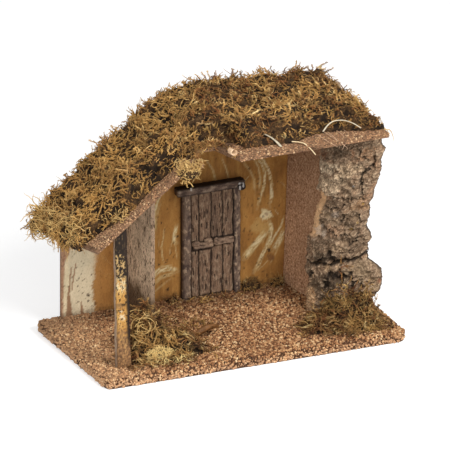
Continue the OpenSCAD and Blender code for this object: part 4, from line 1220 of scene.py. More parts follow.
def wall_colours(px, points):
    """The paint on the back wall: ochre with cream strokes, cream in the lean-to and a raw left edge."""
    count = len(px)
    wash = noise_at(points, 38 * MM, 1)
    streaky = noise_at(points * [1, 1, 0.12], 3.2 * MM, 2)
    speckle = noise_at(points, 1.6 * MM, 3, 2)
    tint = coat(count, (172, 122, 62))
    paint(tint, (142, 96, 46), smooth_step(-0.1, 0.5, wash) * 0.7)
    paint(tint, (190, 142, 76), smooth_step(0.15, 0.6, streaky) * 0.45)
    paint(tint, (112, 74, 34), smooth_step(0.3, 0.7, -streaky + speckle * 0.3) * 0.4)
    in_room = points[:, 0] > partition_high[0] - 1 * MM
    room = np.where(in_room)[0]
    lean = np.where(~in_room)[0]
    place = px[room]
    patch = np.zeros(len(room))
    for i, (share, width, line) in enumerate(ROOM_STROKES):
        patch = 1 - (1 - patch) * (1 - share * stroke(place, line, width, i + 1))
    patch = np.maximum(patch, 0.95 * spot(place, (265, 215.5), (6.4, 6.6), 4, 0.4, 0.35))
    layer = tint[room]
    paint(layer, (190, 152, 90), 0.75 * spot(place, (262, 227), (9, 7), 5, 0.9, 0.4))
    paint(layer, CREAM, np.minimum(patch * 1.15, 1))
    paint(layer, FRESH_CREAM, smooth_step(0.65, 0.95, patch) * 0.8)
    paint(layer, (120, 80, 50), 0.7 * spot(place, (271, 256.4), (3, 3.6), 6, 0.5, 0.5))
    paint(layer, (130, 88, 60), 0.6 * spot(place, (266.5, 213.8), (1.8, 1.6), 7))
    tint[room] = layer

    place = px[lean]
    x, y = place[:, 0], place[:, 1]
    layer = tint[lean]
    rag = noise_at(points[lean], 7 * MM, 8) * 1.6
    raw_edge = np.interp(y, [240, 247, 255, 263, 275, 290, 315], [72, 70.4, 68.2, 64.9, 64, 63.6, 63.1])
    ochre_edge = np.interp(y, [245, 255, 266, 275, 287, 300, 312], [98, 96.5, 94.6, 94, 92.7, 93.3, 95.9])
    mottle = noise_at(points[lean], 2.2 * MM, 9)
    soft = np.interp(y, [240, 262, 290], [6, 3, 1.6])
    cream = smooth_step(soft, -soft, x - ochre_edge + rag + mottle * 2)
    paint(layer, (150, 112, 66), smooth_step(9, 0, np.abs(x - ochre_edge - 3)) * 0.55)
    paint(layer, (217, 199, 166), cream)
    paint(layer, (190, 178, 150), cream * smooth_step(0, 0.6, wash[lean]) * 0.5)
    paint(layer, (228, 208, 168), cream * spot(place, (66.5, 290), (3, 28), 10, 0.8) * 0.6)
    for line, widths in (([(71.7, 267), (70.4, 275), (69.8, 284), (68.7, 294), (69.1, 303), (69.4, 316)],
                          (1.0, 1.4, 1.8, 2.6, 4.6, 6.4)),
                         ([(76.3, 262), (74.5, 271), (72.5, 284), (71.7, 291)], (0.8, 1.2, 1.3, 0.8)),
                         ([(81, 302), (82.5, 315)], (0.8, 4.4))):
        distance, share, _ = line_distance(place, line)
        width = np.interp(share, np.linspace(0, 1, len(widths)), widths) * (1 + 0.3 * mottle)
        paint(layer, (140, 100, 70), smooth_step(width * 0.62, width * 0.38, distance) * 0.9)
    for i, (share, width, line) in enumerate(LEAN_TO_STROKES):
        paint(layer, (196, 164, 104), share * stroke(place, line, width, 40 + i))
    paint(layer, (172, 132, 102), smooth_step(0.7, -0.7, x - raw_edge + rag * 0.5))
    paint(layer, (112, 78, 58), smooth_step(0.7, -0.7, x - raw_edge) * smooth_step(0.0, 0.5, mottle) * 0.7)
    tint[lean] = layer

    for i, (x, y, size) in enumerate(FLECKS):
        paint(tint, (52, 34, 20), 0.9 * spot(px, (x, y), (size, size * 1.1), 11 + i, 0.5, 0.35))
    paint(tint, (70, 46, 26), smooth_step(0.62, 0.8, noise_at(points, 3.4 * MM, 12, 2)) * 0.7)
    paint(tint, (198, 136, 74), 0.35 * smooth_step(92, 97, px[:, 0]) * smooth_step(122, 112, px[:, 0]))
    rise = points[:, 2] - FLOOR_Z
    paint(tint, (84, 56, 32), smooth_step(10 * MM, 0, rise + 4 * MM * speckle) * 0.7)
    return tint


def painted_wall():
    """The back wall as a closed board with a fine front, whose points carry the paint. It leans right."""
    step = 1.35 * MM
    columns = int((wall_high[0] - wall_low[0]) / step)
    rows = int((wall_high[2] - wall_low[2]) / step)
    across, up = np.meshgrid(np.linspace(0, 1, columns), np.linspace(0, 1, rows))
    lean = math.tan(math.radians(2.1))
    low_right = wall_high[0] - (wall_high[2] - wall_low[2]) * lean
    x = wall_low[0] + across * (low_right - wall_low[0])
    top = np.minimum(slope_under(x, WALL_Y), wall_high[2])
    z = wall_low[2] + up * (top - wall_low[2])
    x = x + across * (z - wall_low[2]) * lean
    z = np.minimum(z, slope_under(x, WALL_Y))
    front = np.stack([x, np.full_like(x, WALL_Y), z], axis=-1)
    flat = front.reshape(-1, 3)
    dab = noise_at(flat * [1, 1, 0.2], 2.4 * MM, 13) * 0.12 * MM
    flat[:, 1] += np.abs(dab)
    points, faces = backed_grid(
        flat.reshape(front.shape), lambda edge: edge * [1, 0, 1] + [0, wall_high[1], 0])
    tint = wall_colours(to_photo(points), points)
    tint[points[:, 1] > WALL_Y + 1 * MM] = linear((150, 116, 88))
    finish = tinted_finish("Painted wall", 0.9 * MM, (1, 1, 0.4), 0.25 * MM, 0.8, 0.72)
    solid_piece("painted_back_wall", points, faces, finish, "painted_wall", "back_wall", tint=tint)


def make_walls():
    """The painted back wall, and finishes for the boards whose CAD shape stays."""
    painted_wall()
    front = partition_low[1] + 0.4 * MM
    roof = board_finish("Roof board", (64, 44, 30), (128, 96, 70), 0)
    for node, finish in (
            ("partition_wall", board_finish("Raw partition", (78, 57, 40), (226, 198, 166), 2, 0.3, front)),
            ("right_wall", speckled_board()), ("roof_panel_left", roof), ("roof_panel_right", roof),
            ("base_board", board_finish("Base board", (120, 92, 66), (172, 138, 104), 0))):
        coat_with(nodes[node], finish)


def roof_grains():
    """Small pinkish grains on the bare edges of the two roof boards."""
    inset = 0.3 * MM
    parts = []

    def strip(x, y, z, density):
        """A grid of points for the sheet. One of its coordinates is a single number."""
        grid = np.stack(np.broadcast_arrays(x, y, z), axis=-1)
        parts.append((grid, np.broadcast_to(density, grid.shape[:2])))

    xs = np.linspace(RIDGE_X, level_high[0], 80)
    across = xs * 1000
    front = np.linspace(ROOF_FRONT, ROOF_FRONT + 36 * MM, 8)
    heights = np.linspace(ROOF_UNDER + inset, ROOF_TOP - inset, 4)
    x, y = np.meshgrid(xs, front)
    strip(x, y, ROOF_TOP - inset, 1 - smooth_step(-60, -58, across) * smooth_step(-8, -10, across))
    x, z = np.meshgrid(xs, heights)
    notch = smooth_step(-56, -54, across) * smooth_step(-9, -11, across)
    strip(x, ROOF_FRONT + inset, z, 0.55 - 0.55 * notch)
    y, z = np.meshgrid(np.linspace(ROOF_FRONT, level_high[1], 40), heights)
    strip(level_high[0] - inset, y, z, 1.0)
    thick = BOARD_T * math.sqrt(1 + SLOPE_X ** 2 + SLOPE_Y ** 2)
    xs = np.linspace(EAVE_X, RIDGE_X, 50)
    x, up = np.meshgrid(xs, np.linspace(0.05, 0.95, 5))
    strip(x, ROOF_FRONT + inset, slope_under(x, ROOF_FRONT) + up * thick, 0.6)
    x, y = np.meshgrid(xs, front)
    strip(x, y, slope_under(x, y) + thick - inset, 1.0)
    points, faces = join([(grid.reshape(-1, 3), grid_faces(*grid.shape[:2])) for grid, _ in parts])
    density = np.concatenate([share.ravel() for _, share in parts])
    sheet = mesh_piece("roof_edge_sheet", points, faces, None, density=density)
    dust = granulate_finish("Fine granulate on the roof edges", 0.4)
    for part, (seed, sizes) in enumerate(((64, (0.5, 1.15)), (65, (0.35, 0.8)))):
        strew(f"roof_edge_grains_{part + 1}", sheet, GRAINS, dust, "roof_board", ROOF_GRAINS, seed, sizes,
              math.pi)
    clear_away(sheet)


# The door: one casting with planks, jambs, a lintel, a knob and a latch in two bars

DOOR_W = 67.5 * MM
DOOR_H = 131 * MM
LEAF_TOP = DOOR_TOP - 4.5 * MM
LEAF_H = LEAF_TOP - FLOOR_Z
ROOM_LEFT = -69.5 * MM
ROOM_RIGHT = 110 * MM
# The door stands this share of the room's width right of its middle
DOOR_ASIDE = 0.02
DOOR_X = (ROOM_LEFT + ROOM_RIGHT - DOOR_W) / 2 + DOOR_ASIDE * (ROOM_RIGHT - ROOM_LEFT)
BOARD_EDGES = np.array([0, 0.148, 0.288, 0.497, 0.698, 0.881, 1])
# Slits carved in the planks: place across and up as shares, length in mm
SLITS = [
    (0.19, 0.63, 7), (0.245, 0.74, 9), (0.375, 0.755, 10), (0.41, 0.655, 11), (0.43, 0.78, 7),
    (0.565, 0.80, 8), (0.64, 0.815, 7), (0.665, 0.69, 8), (0.6, 0.56, 13), (0.79, 0.80, 12),
    (0.76, 0.68, 6), (0.245, 0.55, 8), (0.43, 0.5, 8), (0.395, 0.31, 10), (0.6, 0.345, 6),
    (0.79, 0.36, 7), (0.185, 0.25, 12), (0.42, 0.24, 6), (0.395, 0.09, 10), (0.19, 0.13, 9),
    (0.555, 0.18, 5), (0.76, 0.1, 7), (0.32, 0.45, 6), (0.33, 0.66, 6), (0.53, 0.62, 7), (0.72, 0.57, 9),
    (0.83, 0.49, 7), (0.35, 0.17, 8), (0.65, 0.13, 8), (0.84, 0.2, 8), (0.22, 0.42, 7)]


def door_leaf():
    """Relief of the planks and jambs: a grid of front points, and their colours."""
    step = 0.5 * MM
    columns, rows = int(DOOR_W / step), int(LEAF_H / step)
    across, up = np.meshgrid(np.linspace(0, 1, columns), np.linspace(0, 1, rows))
    across, up = across.ravel(), up.ravel()
    place = np.column_stack([across * DOOR_W, np.zeros(len(across)), up * LEAF_H])
    bent = across + wobble(place[:, 2], 30 * MM, 21) * 0.008
    height = np.full(len(across), 6.0)
    jamb = np.maximum(smooth_step(0.15, 0.142, bent), smooth_step(0.878, 0.886, bent))
    knots = noise_at(place * [1, 1, 0.5], 9 * MM, 22, 4)
    height += jamb * (2.0 + 1.0 * knots)
    bow = noise_at(place * [1, 1, 0.15], 14 * MM, 23)
    height += 0.5 * bow
    groove = np.zeros(len(across))
    for i, edge in enumerate(BOARD_EDGES[1:-1]):
        gap = np.abs(across - edge + wobble(place[:, 2], 16 * MM, 24 + i) * 0.012) * DOOR_W
        groove = np.maximum(groove, np.exp(-(gap / (0.75 * MM)) ** 2))
        height -= 0.8 * np.exp(-(gap / (1.8 * MM)) ** 2)
    height -= 1.7 * groove
    slit = np.zeros(len(across))
    for i, (x, z, length) in enumerate(SLITS):
        dx = (across - x) * DOOR_W / MM + 0.35 * np.sin(up * 60 + i)
        dz = (up - z) * LEAF_H / MM / (length / 2)
        slit = np.maximum(slit, np.exp(-(dx / 0.75) ** 2) * smooth_step(1.1, 0.5, np.abs(dz)))
    streak = noise_at(place * [1, 1, 0.09], 1.5 * MM, 31, 4)
    chatter = noise_at(place * [1, 1, 0.45], 3 * MM, 32, 4)
    height -= (1.3 * slit + 0.45 * np.abs(streak)) * (1 - jamb * 0.5)
    height += 0.4 * chatter + 0.25 * noise_at(place, 1.4 * MM, 33, 2)
    foot = smooth_step(3 * MM, 0, place[:, 2] - 1.5 * MM * (1 + wobble(place[:, 0], 6 * MM, 34)))
    height -= 2.0 * foot * (1 - jamb)
    height = np.maximum(height, 1.0)
    edge_in = np.minimum(across, 1 - across) * DOOR_W / MM
    height = height - 2.2 * np.exp(-(edge_in / 0.9) ** 2)

    tint = coat(len(across), (134, 106, 84))
    paint(tint, (166, 140, 114), smooth_step(0.05, 0.5, chatter) * 0.75)
    paint(tint, (104, 82, 66), smooth_step(0.1, 0.5, -bow) * 0.6)
    paint(tint, (70, 52, 42), smooth_step(0.22, 0.5, np.abs(streak)) * 0.75)
    paint(tint, (116, 96, 82), jamb * 0.85)
    paint(tint, (76, 60, 54), jamb * smooth_step(0.0, 0.5, -knots) * 0.85)
    paint(tint, (172, 146, 120), jamb * smooth_step(0.15, 0.5, chatter) * 0.8)
    carved = np.maximum(smooth_step(0.25, 0.75, groove), smooth_step(0.3, 0.8, slit))
    paint(tint, (30, 21, 15), carved * 0.95)
    off = (up - 0.453) * LEAF_H / MM - 1.4 * (across > 0.52) + 1.6 * (across < 0.5)
    latch_shade = smooth_step(-1.6, -0.4, off) * smooth_step(10.4, 9.2, off)
    latch_shade *= smooth_step(0.14, 0.155, across) * smooth_step(0.885, 0.87, across)
    paint(tint, (34, 25, 20), latch_shade * 0.85)
    paint(tint, (48, 36, 28), foot * 0.7)
    # Painted shade: the top of the planks is darker under the lintel.
    paint(tint, (60, 46, 38), smooth_step(0.93, 1.0, up) * 0.5)
    points = np.column_stack([place[:, 0] + DOOR_X, WALL_Y - height * MM, place[:, 2] + FLOOR_Z])
    return points.reshape(rows, columns, 3), tint


def door_lintel(finish):
    lip = 3.5 * MM
    points, faces = rounded_bar(
        (DOOR_X - 8 * MM, WALL_Y - 11 * MM, DOOR_TOP - 9 * MM), (DOOR_X + DOOR_W + lip, WALL_Y, DOOR_TOP),
        1.6 * MM, 41, 0.8 * MM)
    patches = noise_at(points * [0.5, 1, 1], 5 * MM, 42, 4)
    tint = coat(len(points), (116, 96, 82))
    paint(tint, (74, 58, 50), smooth_step(0.0, 0.4, patches) * 0.8)
    paint(tint, (168, 146, 124), smooth_step(0.2, 0.5, -patches) * 0.6)
    # Painted shade: near black on the top face, under the roof, and darker along the underside.
    paint(tint, (40, 26, 14), smooth_step(DOOR_TOP - 2.2 * MM, DOOR_TOP - 0.8 * MM, points[:, 2]) * 0.95)
    paint(tint, (48, 38, 34), smooth_step(2.4 * MM, 0.6 * MM, points[:, 2] - DOOR_TOP + 9 * MM) * 0.8)
    paint(tint, (214, 204, 190), spot(to_photo(points), (191.2, 189.3), (1.0, 1.9), 43))
    solid_piece("door_lintel", points, faces, finish, "stained_relief", tint=tint)


def door_knob():
    middle = np.array([DOOR_X + DOOR_W - 1.1 * MM, WALL_Y - 11 * MM, DOOR_TOP - 6.8 * MM])
    points, faces = ball(middle, 4.6 * MM, 44, 0.9 * MM)
    tint = coat(len(points), (44, 36, 36))
    # White marks where the knob shines: partly paint and partly painted highlights.
    for x, y, wide, high in ((239.4, 183.2, 1.6, 1.2), (240, 188, 0.9, 2.4), (243.4, 184.4, 0.8, 2.4),
                             (236.2, 186.6, 0.7, 2.2)):
        paint(tint, (206, 200, 194), spot(to_photo(points), (x, y), (wide, high), x, 0.5, 0.4))
    finish = tinted_finish("Painted knob", 0.8 * MM, (1, 1, 1), 0.2 * MM, 0.45, 0.7)
    solid_piece("door_knob", points, faces, finish, "stained_relief", tint=tint)


def door_latch(finish):
    """Two bars across the planks, with three lumps where they meet and are fixed."""
    foot = FLOOR_Z + 0.455 * DOOR_H
    face = WALL_Y - 10.6 * MM
    parts = []
    for i, (start, drop) in enumerate(((0.165, -1.6 * MM), (0.52, 0.6 * MM))):
        points, faces = rounded_bar(
            (DOOR_X + DOOR_W * start, face, foot + drop),
            (DOOR_X + DOOR_W * (start + 0.345), WALL_Y - 4 * MM, foot + drop + 7 * MM), 1.5 * MM, 45 + i,
            0.7 * MM)
        parts.append((points, outward(points, faces)))
    for i, (share, lift, wide) in enumerate(((0.215, 4.8, 1.35), (0.42, 6.4, 1.35), (0.56, 5.0, 0.8))):
        x = DOOR_X + DOOR_W * share
        points, faces = ball(np.array([x, face + 2.2 * MM, foot + lift * MM]), 3.6 * MM, 47 + i, 0.6 * MM)
        points[:, 0] = (points[:, 0] - x) * wide + x
        parts.append((points, outward(points, faces)))
    points, faces = join(parts)
    tint = coat(len(points), (138, 112, 92))
    rough = noise_at(points * [0.4, 1, 1], 2.6 * MM, 50, 4)
    paint(tint, (166, 140, 114), smooth_step(0.1, 0.5, rough) * 0.7)
    paint(tint, (70, 54, 44), smooth_step(0.1, 0.5, -rough) * 0.8)
    # Painted shade: darker along the bars' undersides and near black on their sides next to the planks.
    paint(tint, (50, 38, 31), smooth_step(1.0 * MM, -0.8 * MM, points[:, 2] - foot) * 0.8)
    paint(tint, (34, 25, 20), smooth_step(WALL_Y - 8.4 * MM, WALL_Y - 7.2 * MM, points[:, 1]) * 0.9)
    settle(mesh_piece("door_latch", points, faces, finish, tint=tint), "stained_relief")


def make_door():
    finish = tinted_finish("Stained door", 0.7 * MM, (1, 1, 0.3), 0.35 * MM, 0.78, 0.62)
    front, tint = door_leaf()
    points, faces = backed_grid(front, lambda edge: edge * [1, 0, 1] + [0, WALL_Y, 0])
    tint = np.concatenate([tint, coat(len(points) - len(tint), (60, 46, 38))])
    solid_piece("door_boards", points, faces, finish, "stained_relief", "door_relief", tint=tint)
    door_lintel(finish)
    door_knob()
    door_latch(finish)


# The split stick at the front corner

def make_post():
    """The post: a worn stick whose front is mottled black, cream and orange-yellow."""
    around, rows = 64, 230
    low, high = post_low[2], post_high[2]
    foot = np.array([-143 * MM, -64 * MM])
    turn = np.arange(around) * 2 * np.pi / around
    c, s = np.cos(turn), np.sin(turn)
    square = 1 / np.maximum(np.abs(c), np.abs(s)) ** 0.92
    lean = math.tan(math.radians(1.3))
    rings = []
    for z in np.linspace(low, high - 0.5 * MM, rows):
        share = (z - low) / (high - low)
        wide = (15 - 1.6 * share) * MM / 2 * (1 + 0.03 * math.sin(share * 17))
        deep = (10 - 3.8 * share) * MM / 2
        x = foot[0] - (z - low) * lean + 0.2 * MM * math.sin(share * 22) + c * square * wide
        rings.append(np.column_stack([x, foot[1] + s * square * deep, np.full(around, z)]))
    points = np.concatenate(rings)
    under = slope_under(points[:, 0], points[:, 1]) - 0.3 * MM
    points[:, 2] = np.minimum(points[:, 2], under)
    out = np.tile(np.column_stack([c, s, np.zeros(around)]), (rows, 1))
    px = to_photo(points)
    peel = noise_at(points * [1, 1, 0.35], 5 * MM, 51, 4)
    fine = noise_at(points * [1, 1, 0.2], 1.6 * MM, 52, 4)
    points = points + out * (peel * 0.55 * MM + fine * 0.25 * MM)[:, None]

    y = px[:, 1]
    blotch = noise_at(points, 3.2 * MM, 53, 4)
    grains = noise_at(points * [1, 1, 0.5], 1.5 * MM, 54, 3)
    tint = coat(len(points), (186, 138, 72))
    paint(tint, (206, 164, 96), smooth_step(0.0, 0.5, peel) * 0.7)
    paint(tint, (158, 106, 48), smooth_step(0.1, 0.6, -peel) * 0.6)
    paint(tint, (226, 204, 158), smooth_step(11, 3, np.abs(y - 284)) * smooth_step(-0.4, 0.2, blotch) * 0.9)
    mottled = smooth_step(284, 272, y)
    paint(tint, (178, 150, 104), mottled * 0.7)
    black = smooth_step(264, 242, y) * 0.9 + mottled * 0.42
    paint(tint, (34, 24, 16), smooth_step(0.55 - black, 0.85 - black, grains * 0.7 + blotch * 0.7 + 0.35))
    paint(tint, (36, 25, 16), smooth_step(256, 246, y) * 0.7)
    paint(tint, (120, 96, 66), smooth_step(262, 240, y) * smooth_step(0.35, 0.6, fine) * 0.7)
    paint(tint, (52, 36, 20), 0.9 * spot(px, (121.5, 305), (3.2, 1.5), 55, 0.5, 0.5))
    paint(tint, (150, 112, 68), 0.7 * spot(px, (119, 307), (4, 3), 57, 0.5, 0.5))
    paint(tint, (216, 196, 160), 0.9 * spot(px, (122.3, 316.5), (1.9, 3.2), 56, 0.9, 0.8))
    lower = smooth_step(320, 350, y + 9 * blotch)
    paint(tint, (158, 118, 80), lower * 0.8)
    paint(tint, (122, 88, 58), lower * smooth_step(-0.3, 0.2, blotch) * 0.8)
    paint(tint, (84, 60, 42), lower * smooth_step(0.0, 0.4, grains) * 0.7)
    facing = -out[:, 1]
    side = smooth_step(0.5, 0.2, facing)
    paint(tint, (164, 138, 114), side)
    paint(tint, (120, 94, 72), side * smooth_step(0.0, 0.5, fine) * 0.7)
    # Painted shade: the post's right side is near black, except near its foot.
    shaded_right_edge = smooth_step(0.3, 0.62, out[:, 0]) * (facing > -0.3)
    paint(tint, (38, 25, 15), shaded_right_edge * smooth_step(352, 336, y))
    finish = tinted_finish("Split stick", 0.8 * MM, (1, 1, 0.3), 0.35 * MM, 0.8, 0.68)
    faces = closed_rings(rows, around)
    solid_piece("split_stick", points, faces, finish, "split_stick", "front_post", tint=tint)


# Cork bark: a curved slab in two pieces. Its edges, cracks and patches are placed by the photograph.

BARK_CORNER = np.array([103.08, 9.91, 0]) * MM
BARK_TURN = math.radians(40)
BARK_ALONG = np.array([math.cos(BARK_TURN), -math.sin(BARK_TURN), 0])
BARK_OUT = np.array([-math.sin(BARK_TURN), -math.cos(BARK_TURN), 0])
BARK_BULGE = 21 * MM
BARK_T = 14 * MM
BARK_LEFT = [
    (320.5, 149), (318.6, 161), (318.2, 163), (319.6, 172), (318.4, 180), (316.7, 188.6), (319.6, 193),
    (321.4, 198), (316, 206.2), (314.6, 216.5), (312.6, 224), (311.2, 232), (306.8, 238), (307, 251.6),
    (305.4, 258), (304.6, 262), (306.6, 268)]
BARK_RIGHT = [
    (380, 144), (383, 150), (381.5, 157), (379, 161), (380, 168), (378, 175), (376.4, 181), (374, 188),
    (372, 196), (371.6, 200), (368, 204), (368.2, 212), (366.6, 220), (364.6, 226), (366.4, 231),
    (369.6, 237), (369.4, 241), (366, 245), (366.4, 252), (365, 258), (363.5, 264)]
FOOT_LEFT = [(305.4, 263), (303.3, 269), (308.2, 276), (309, 283), (305.4, 290), (305.6, 306)]
FOOT_RIGHT = [(366, 260), (373, 265), (379, 270), (381, 275), (380, 285), (377, 293), (369, 300), (368, 310)]
# Cracks: half width and depth in mm, and line
BARK_CRACKS = [
    (1.3, 3.4, [(356.5, 146.5), (361.4, 155), (368.3, 160.2)]),
    (1.7, 4.5, [(374.6, 153), (374.2, 163), (369.4, 168.7), (361.8, 174.4), (360.3, 181.5), (362, 191),
                (364, 197)]),
    (0.8, 1.9, [(323, 165.8), (329, 169.4), (334.1, 172.7), (343.2, 173.8), (351, 174.6)]),
    (0.8, 2.0, [(340.4, 178), (340.8, 185)]),
    (1.0, 2.4, [(326.6, 195.6), (336.4, 198.3), (348.9, 199.6), (358, 198.2), (370, 198.6)]),
    (1.0, 2.6, [(323.6, 204.6), (328.4, 208.5), (335.3, 208.5), (347.8, 205.1)]),
    (0.9, 2.6, [(351, 210.6), (358, 213.6), (360.9, 220.4), (366, 222)]),
    (1.2, 3.2, [(344.2, 213), (339.6, 225)]),
    (1.0, 2.6, [(315, 217), (320.5, 224.4), (330.7, 229), (337.5, 234.7), (350, 236)]),
    (1.0, 2.8, [(360.3, 231), (355.7, 240.4), (350, 244.9), (345.5, 239.2)]),
    (0.8, 1.8, [(347, 246), (350, 253), (356, 257)]),
    (2.6, 6.5, [(326.6, 252), (331, 257.6), (338.5, 261.6)]),
    (2.2, 5.0, [(326, 256.6), (320.5, 260.4), (315, 265)]),
    (0.7, 1.6, [(366, 205), (371, 206.4)]),
    (0.7, 1.4, [(327.4, 238), (328.6, 246)]),
    (0.6, 1.3, [(318, 180), (326, 178.6)]),
    (0.6, 1.3, [(317, 184.6), (326, 187.2), (333, 191.6)])]
FOOT_CRACKS = [
    (2.4, 5.5, [(329.6, 272), (327.8, 281), (325, 289)]),
    (3.4, 6.0, [(331, 275), (339, 278), (346, 276)]),
    (1.4, 3.6, [(309.8, 269.5), (311, 277)]),
    (1.6, 3.4, [(352, 268), (350, 276), (353, 284), (352, 292)]),
    (1.2, 2.6, [(344, 276), (350, 281), (358, 283), (366, 288)]),
    (1.2, 2.8, [(339, 268), (341, 280), (345, 292)])]
# Patches: colour, strength, middle and half sizes
BARK_PATCHES = [
    ((242, 218, 184), 0.8, (328, 166), (12, 6)),
    ((234, 206, 170), 0.75, (328, 183), (12, 9)),
    ((216, 188, 152), 0.6, (350, 170), (11, 7)),
    # The next patch is a painted shadow of the roof along the top of the bark.
    ((104, 86, 68), 0.75, (341, 153.5), (13, 6)),
    ((160, 112, 80), 0.75, (323.6, 154.6), (3.4, 6)),
    ((176, 130, 92), 0.6, (369, 153), (8, 6)),
    ((182, 156, 126), 0.5, (354, 188), (11, 8)),
    ((118, 96, 74), 0.6, (338, 202.5), (14, 4)),
    ((208, 176, 140), 0.6, (328, 217), (8, 6)),
    ((206, 196, 188), 0.5, (334, 215.5), (4.5, 3)),
    ((120, 98, 76), 0.4, (346, 226), (20, 24)),
    ((198, 152, 108), 0.6, (357, 205), (9, 4.5)),
    ((132, 108, 82), 0.6, (352, 216), (9, 5)),
    ((144, 120, 96), 0.5, (317.5, 243), (8, 9)),
    ((204, 172, 134), 0.45, (336, 247), (8, 5)),
    ((136, 112, 88), 0.5, (356, 246), (8, 8)),
    ((62, 50, 38), 0.8, (322, 257), (8, 4.5)),
    ((208, 170, 130), 0.85, (326, 266), (8, 4.2)),
    ((84, 92, 52), 0.4, (313, 264), (6, 3)),
    ((214, 172, 74), 0.9, (350.6, 230.4), (1.7, 1.2)),
    ((206, 160, 70), 0.8, (363.5, 203.8), (1.1, 1.0)),
    ((204, 160, 80), 0.8, (358.4, 221.4), (1.2, 1.0)),
    ((226, 224, 220), 0.9, (353.4, 186), (1.0, 1.0)),
    ((180, 120, 80), 0.5, (353, 154), (2.6, 3.2))]
FOOT_PATCHES = [
    ((50, 38, 28), 0.85, (337, 277.5), (10, 6.5)),
    ((66, 54, 42), 0.75, (330, 284), (6, 9)),
    ((222, 184, 142), 0.85, (326, 269.5), (9, 2.6)),
    # The next two patches are pale cut cork, painted brighter still as painted light where these faces turn
    # from the lamps.
    ((255, 208, 158), 0.98, (310.4, 288), (3.8, 8)),
    ((255, 208, 158), 0.98, (309.4, 300), (5.4, 10)),
    ((44, 36, 28), 0.9, (310.4, 274.4), (2.4, 4.4)),
    ((150, 128, 98), 0.6, (362, 271), (14, 8)),
    ((176, 148, 110), 0.5, (373, 284), (6, 7)),
    ((190, 112, 80), 0.6, (378.6, 281.6), (1.8, 2.2)),
    ((92, 78, 60), 0.6, (320, 286), (6, 9))]
# The right border of the smooth cut face at the left edge
CUT_CORK = [(323, 191), (326.7, 197), (324.5, 203), (321.4, 209.6), (318, 219.9), (319.9, 227.8),
            (322.8, 234)]


def bark_crack(s):
    """Height of the crack between the two pieces of bark, across its face."""
    return (66 + 15 * s + 0.8 * np.sin(s * 21) + 0.5 * np.sin(s * 47)) * MM


def edge_run(polyline, z, out, guess):
    """Distance along the bark's face at which it meets a line in the photograph, at heights, from a guess."""
    line = np.array(polyline)
    run = np.full_like(z, guess)
    per_metre = BARK_ALONG @ VIEW_RIGHT * PX_PER_M
    for _ in range(4):
        points = BARK_CORNER + run[:, None] * BARK_ALONG + out[:, None] * BARK_OUT
        points[:, 2] = z
        px = to_photo(points)
        run = run + (np.interp(px[:, 1], line[:, 1], line[:, 0]) - px[:, 0]) / per_metre
    return run


def jagged(z, seed):
    """How far an edge of the bark strays to the side, by height."""
    return (wobble(z, 5 * MM, seed) * 1.3 + wobble(z, 1.7 * MM, seed + 1) * 0.7) * MM


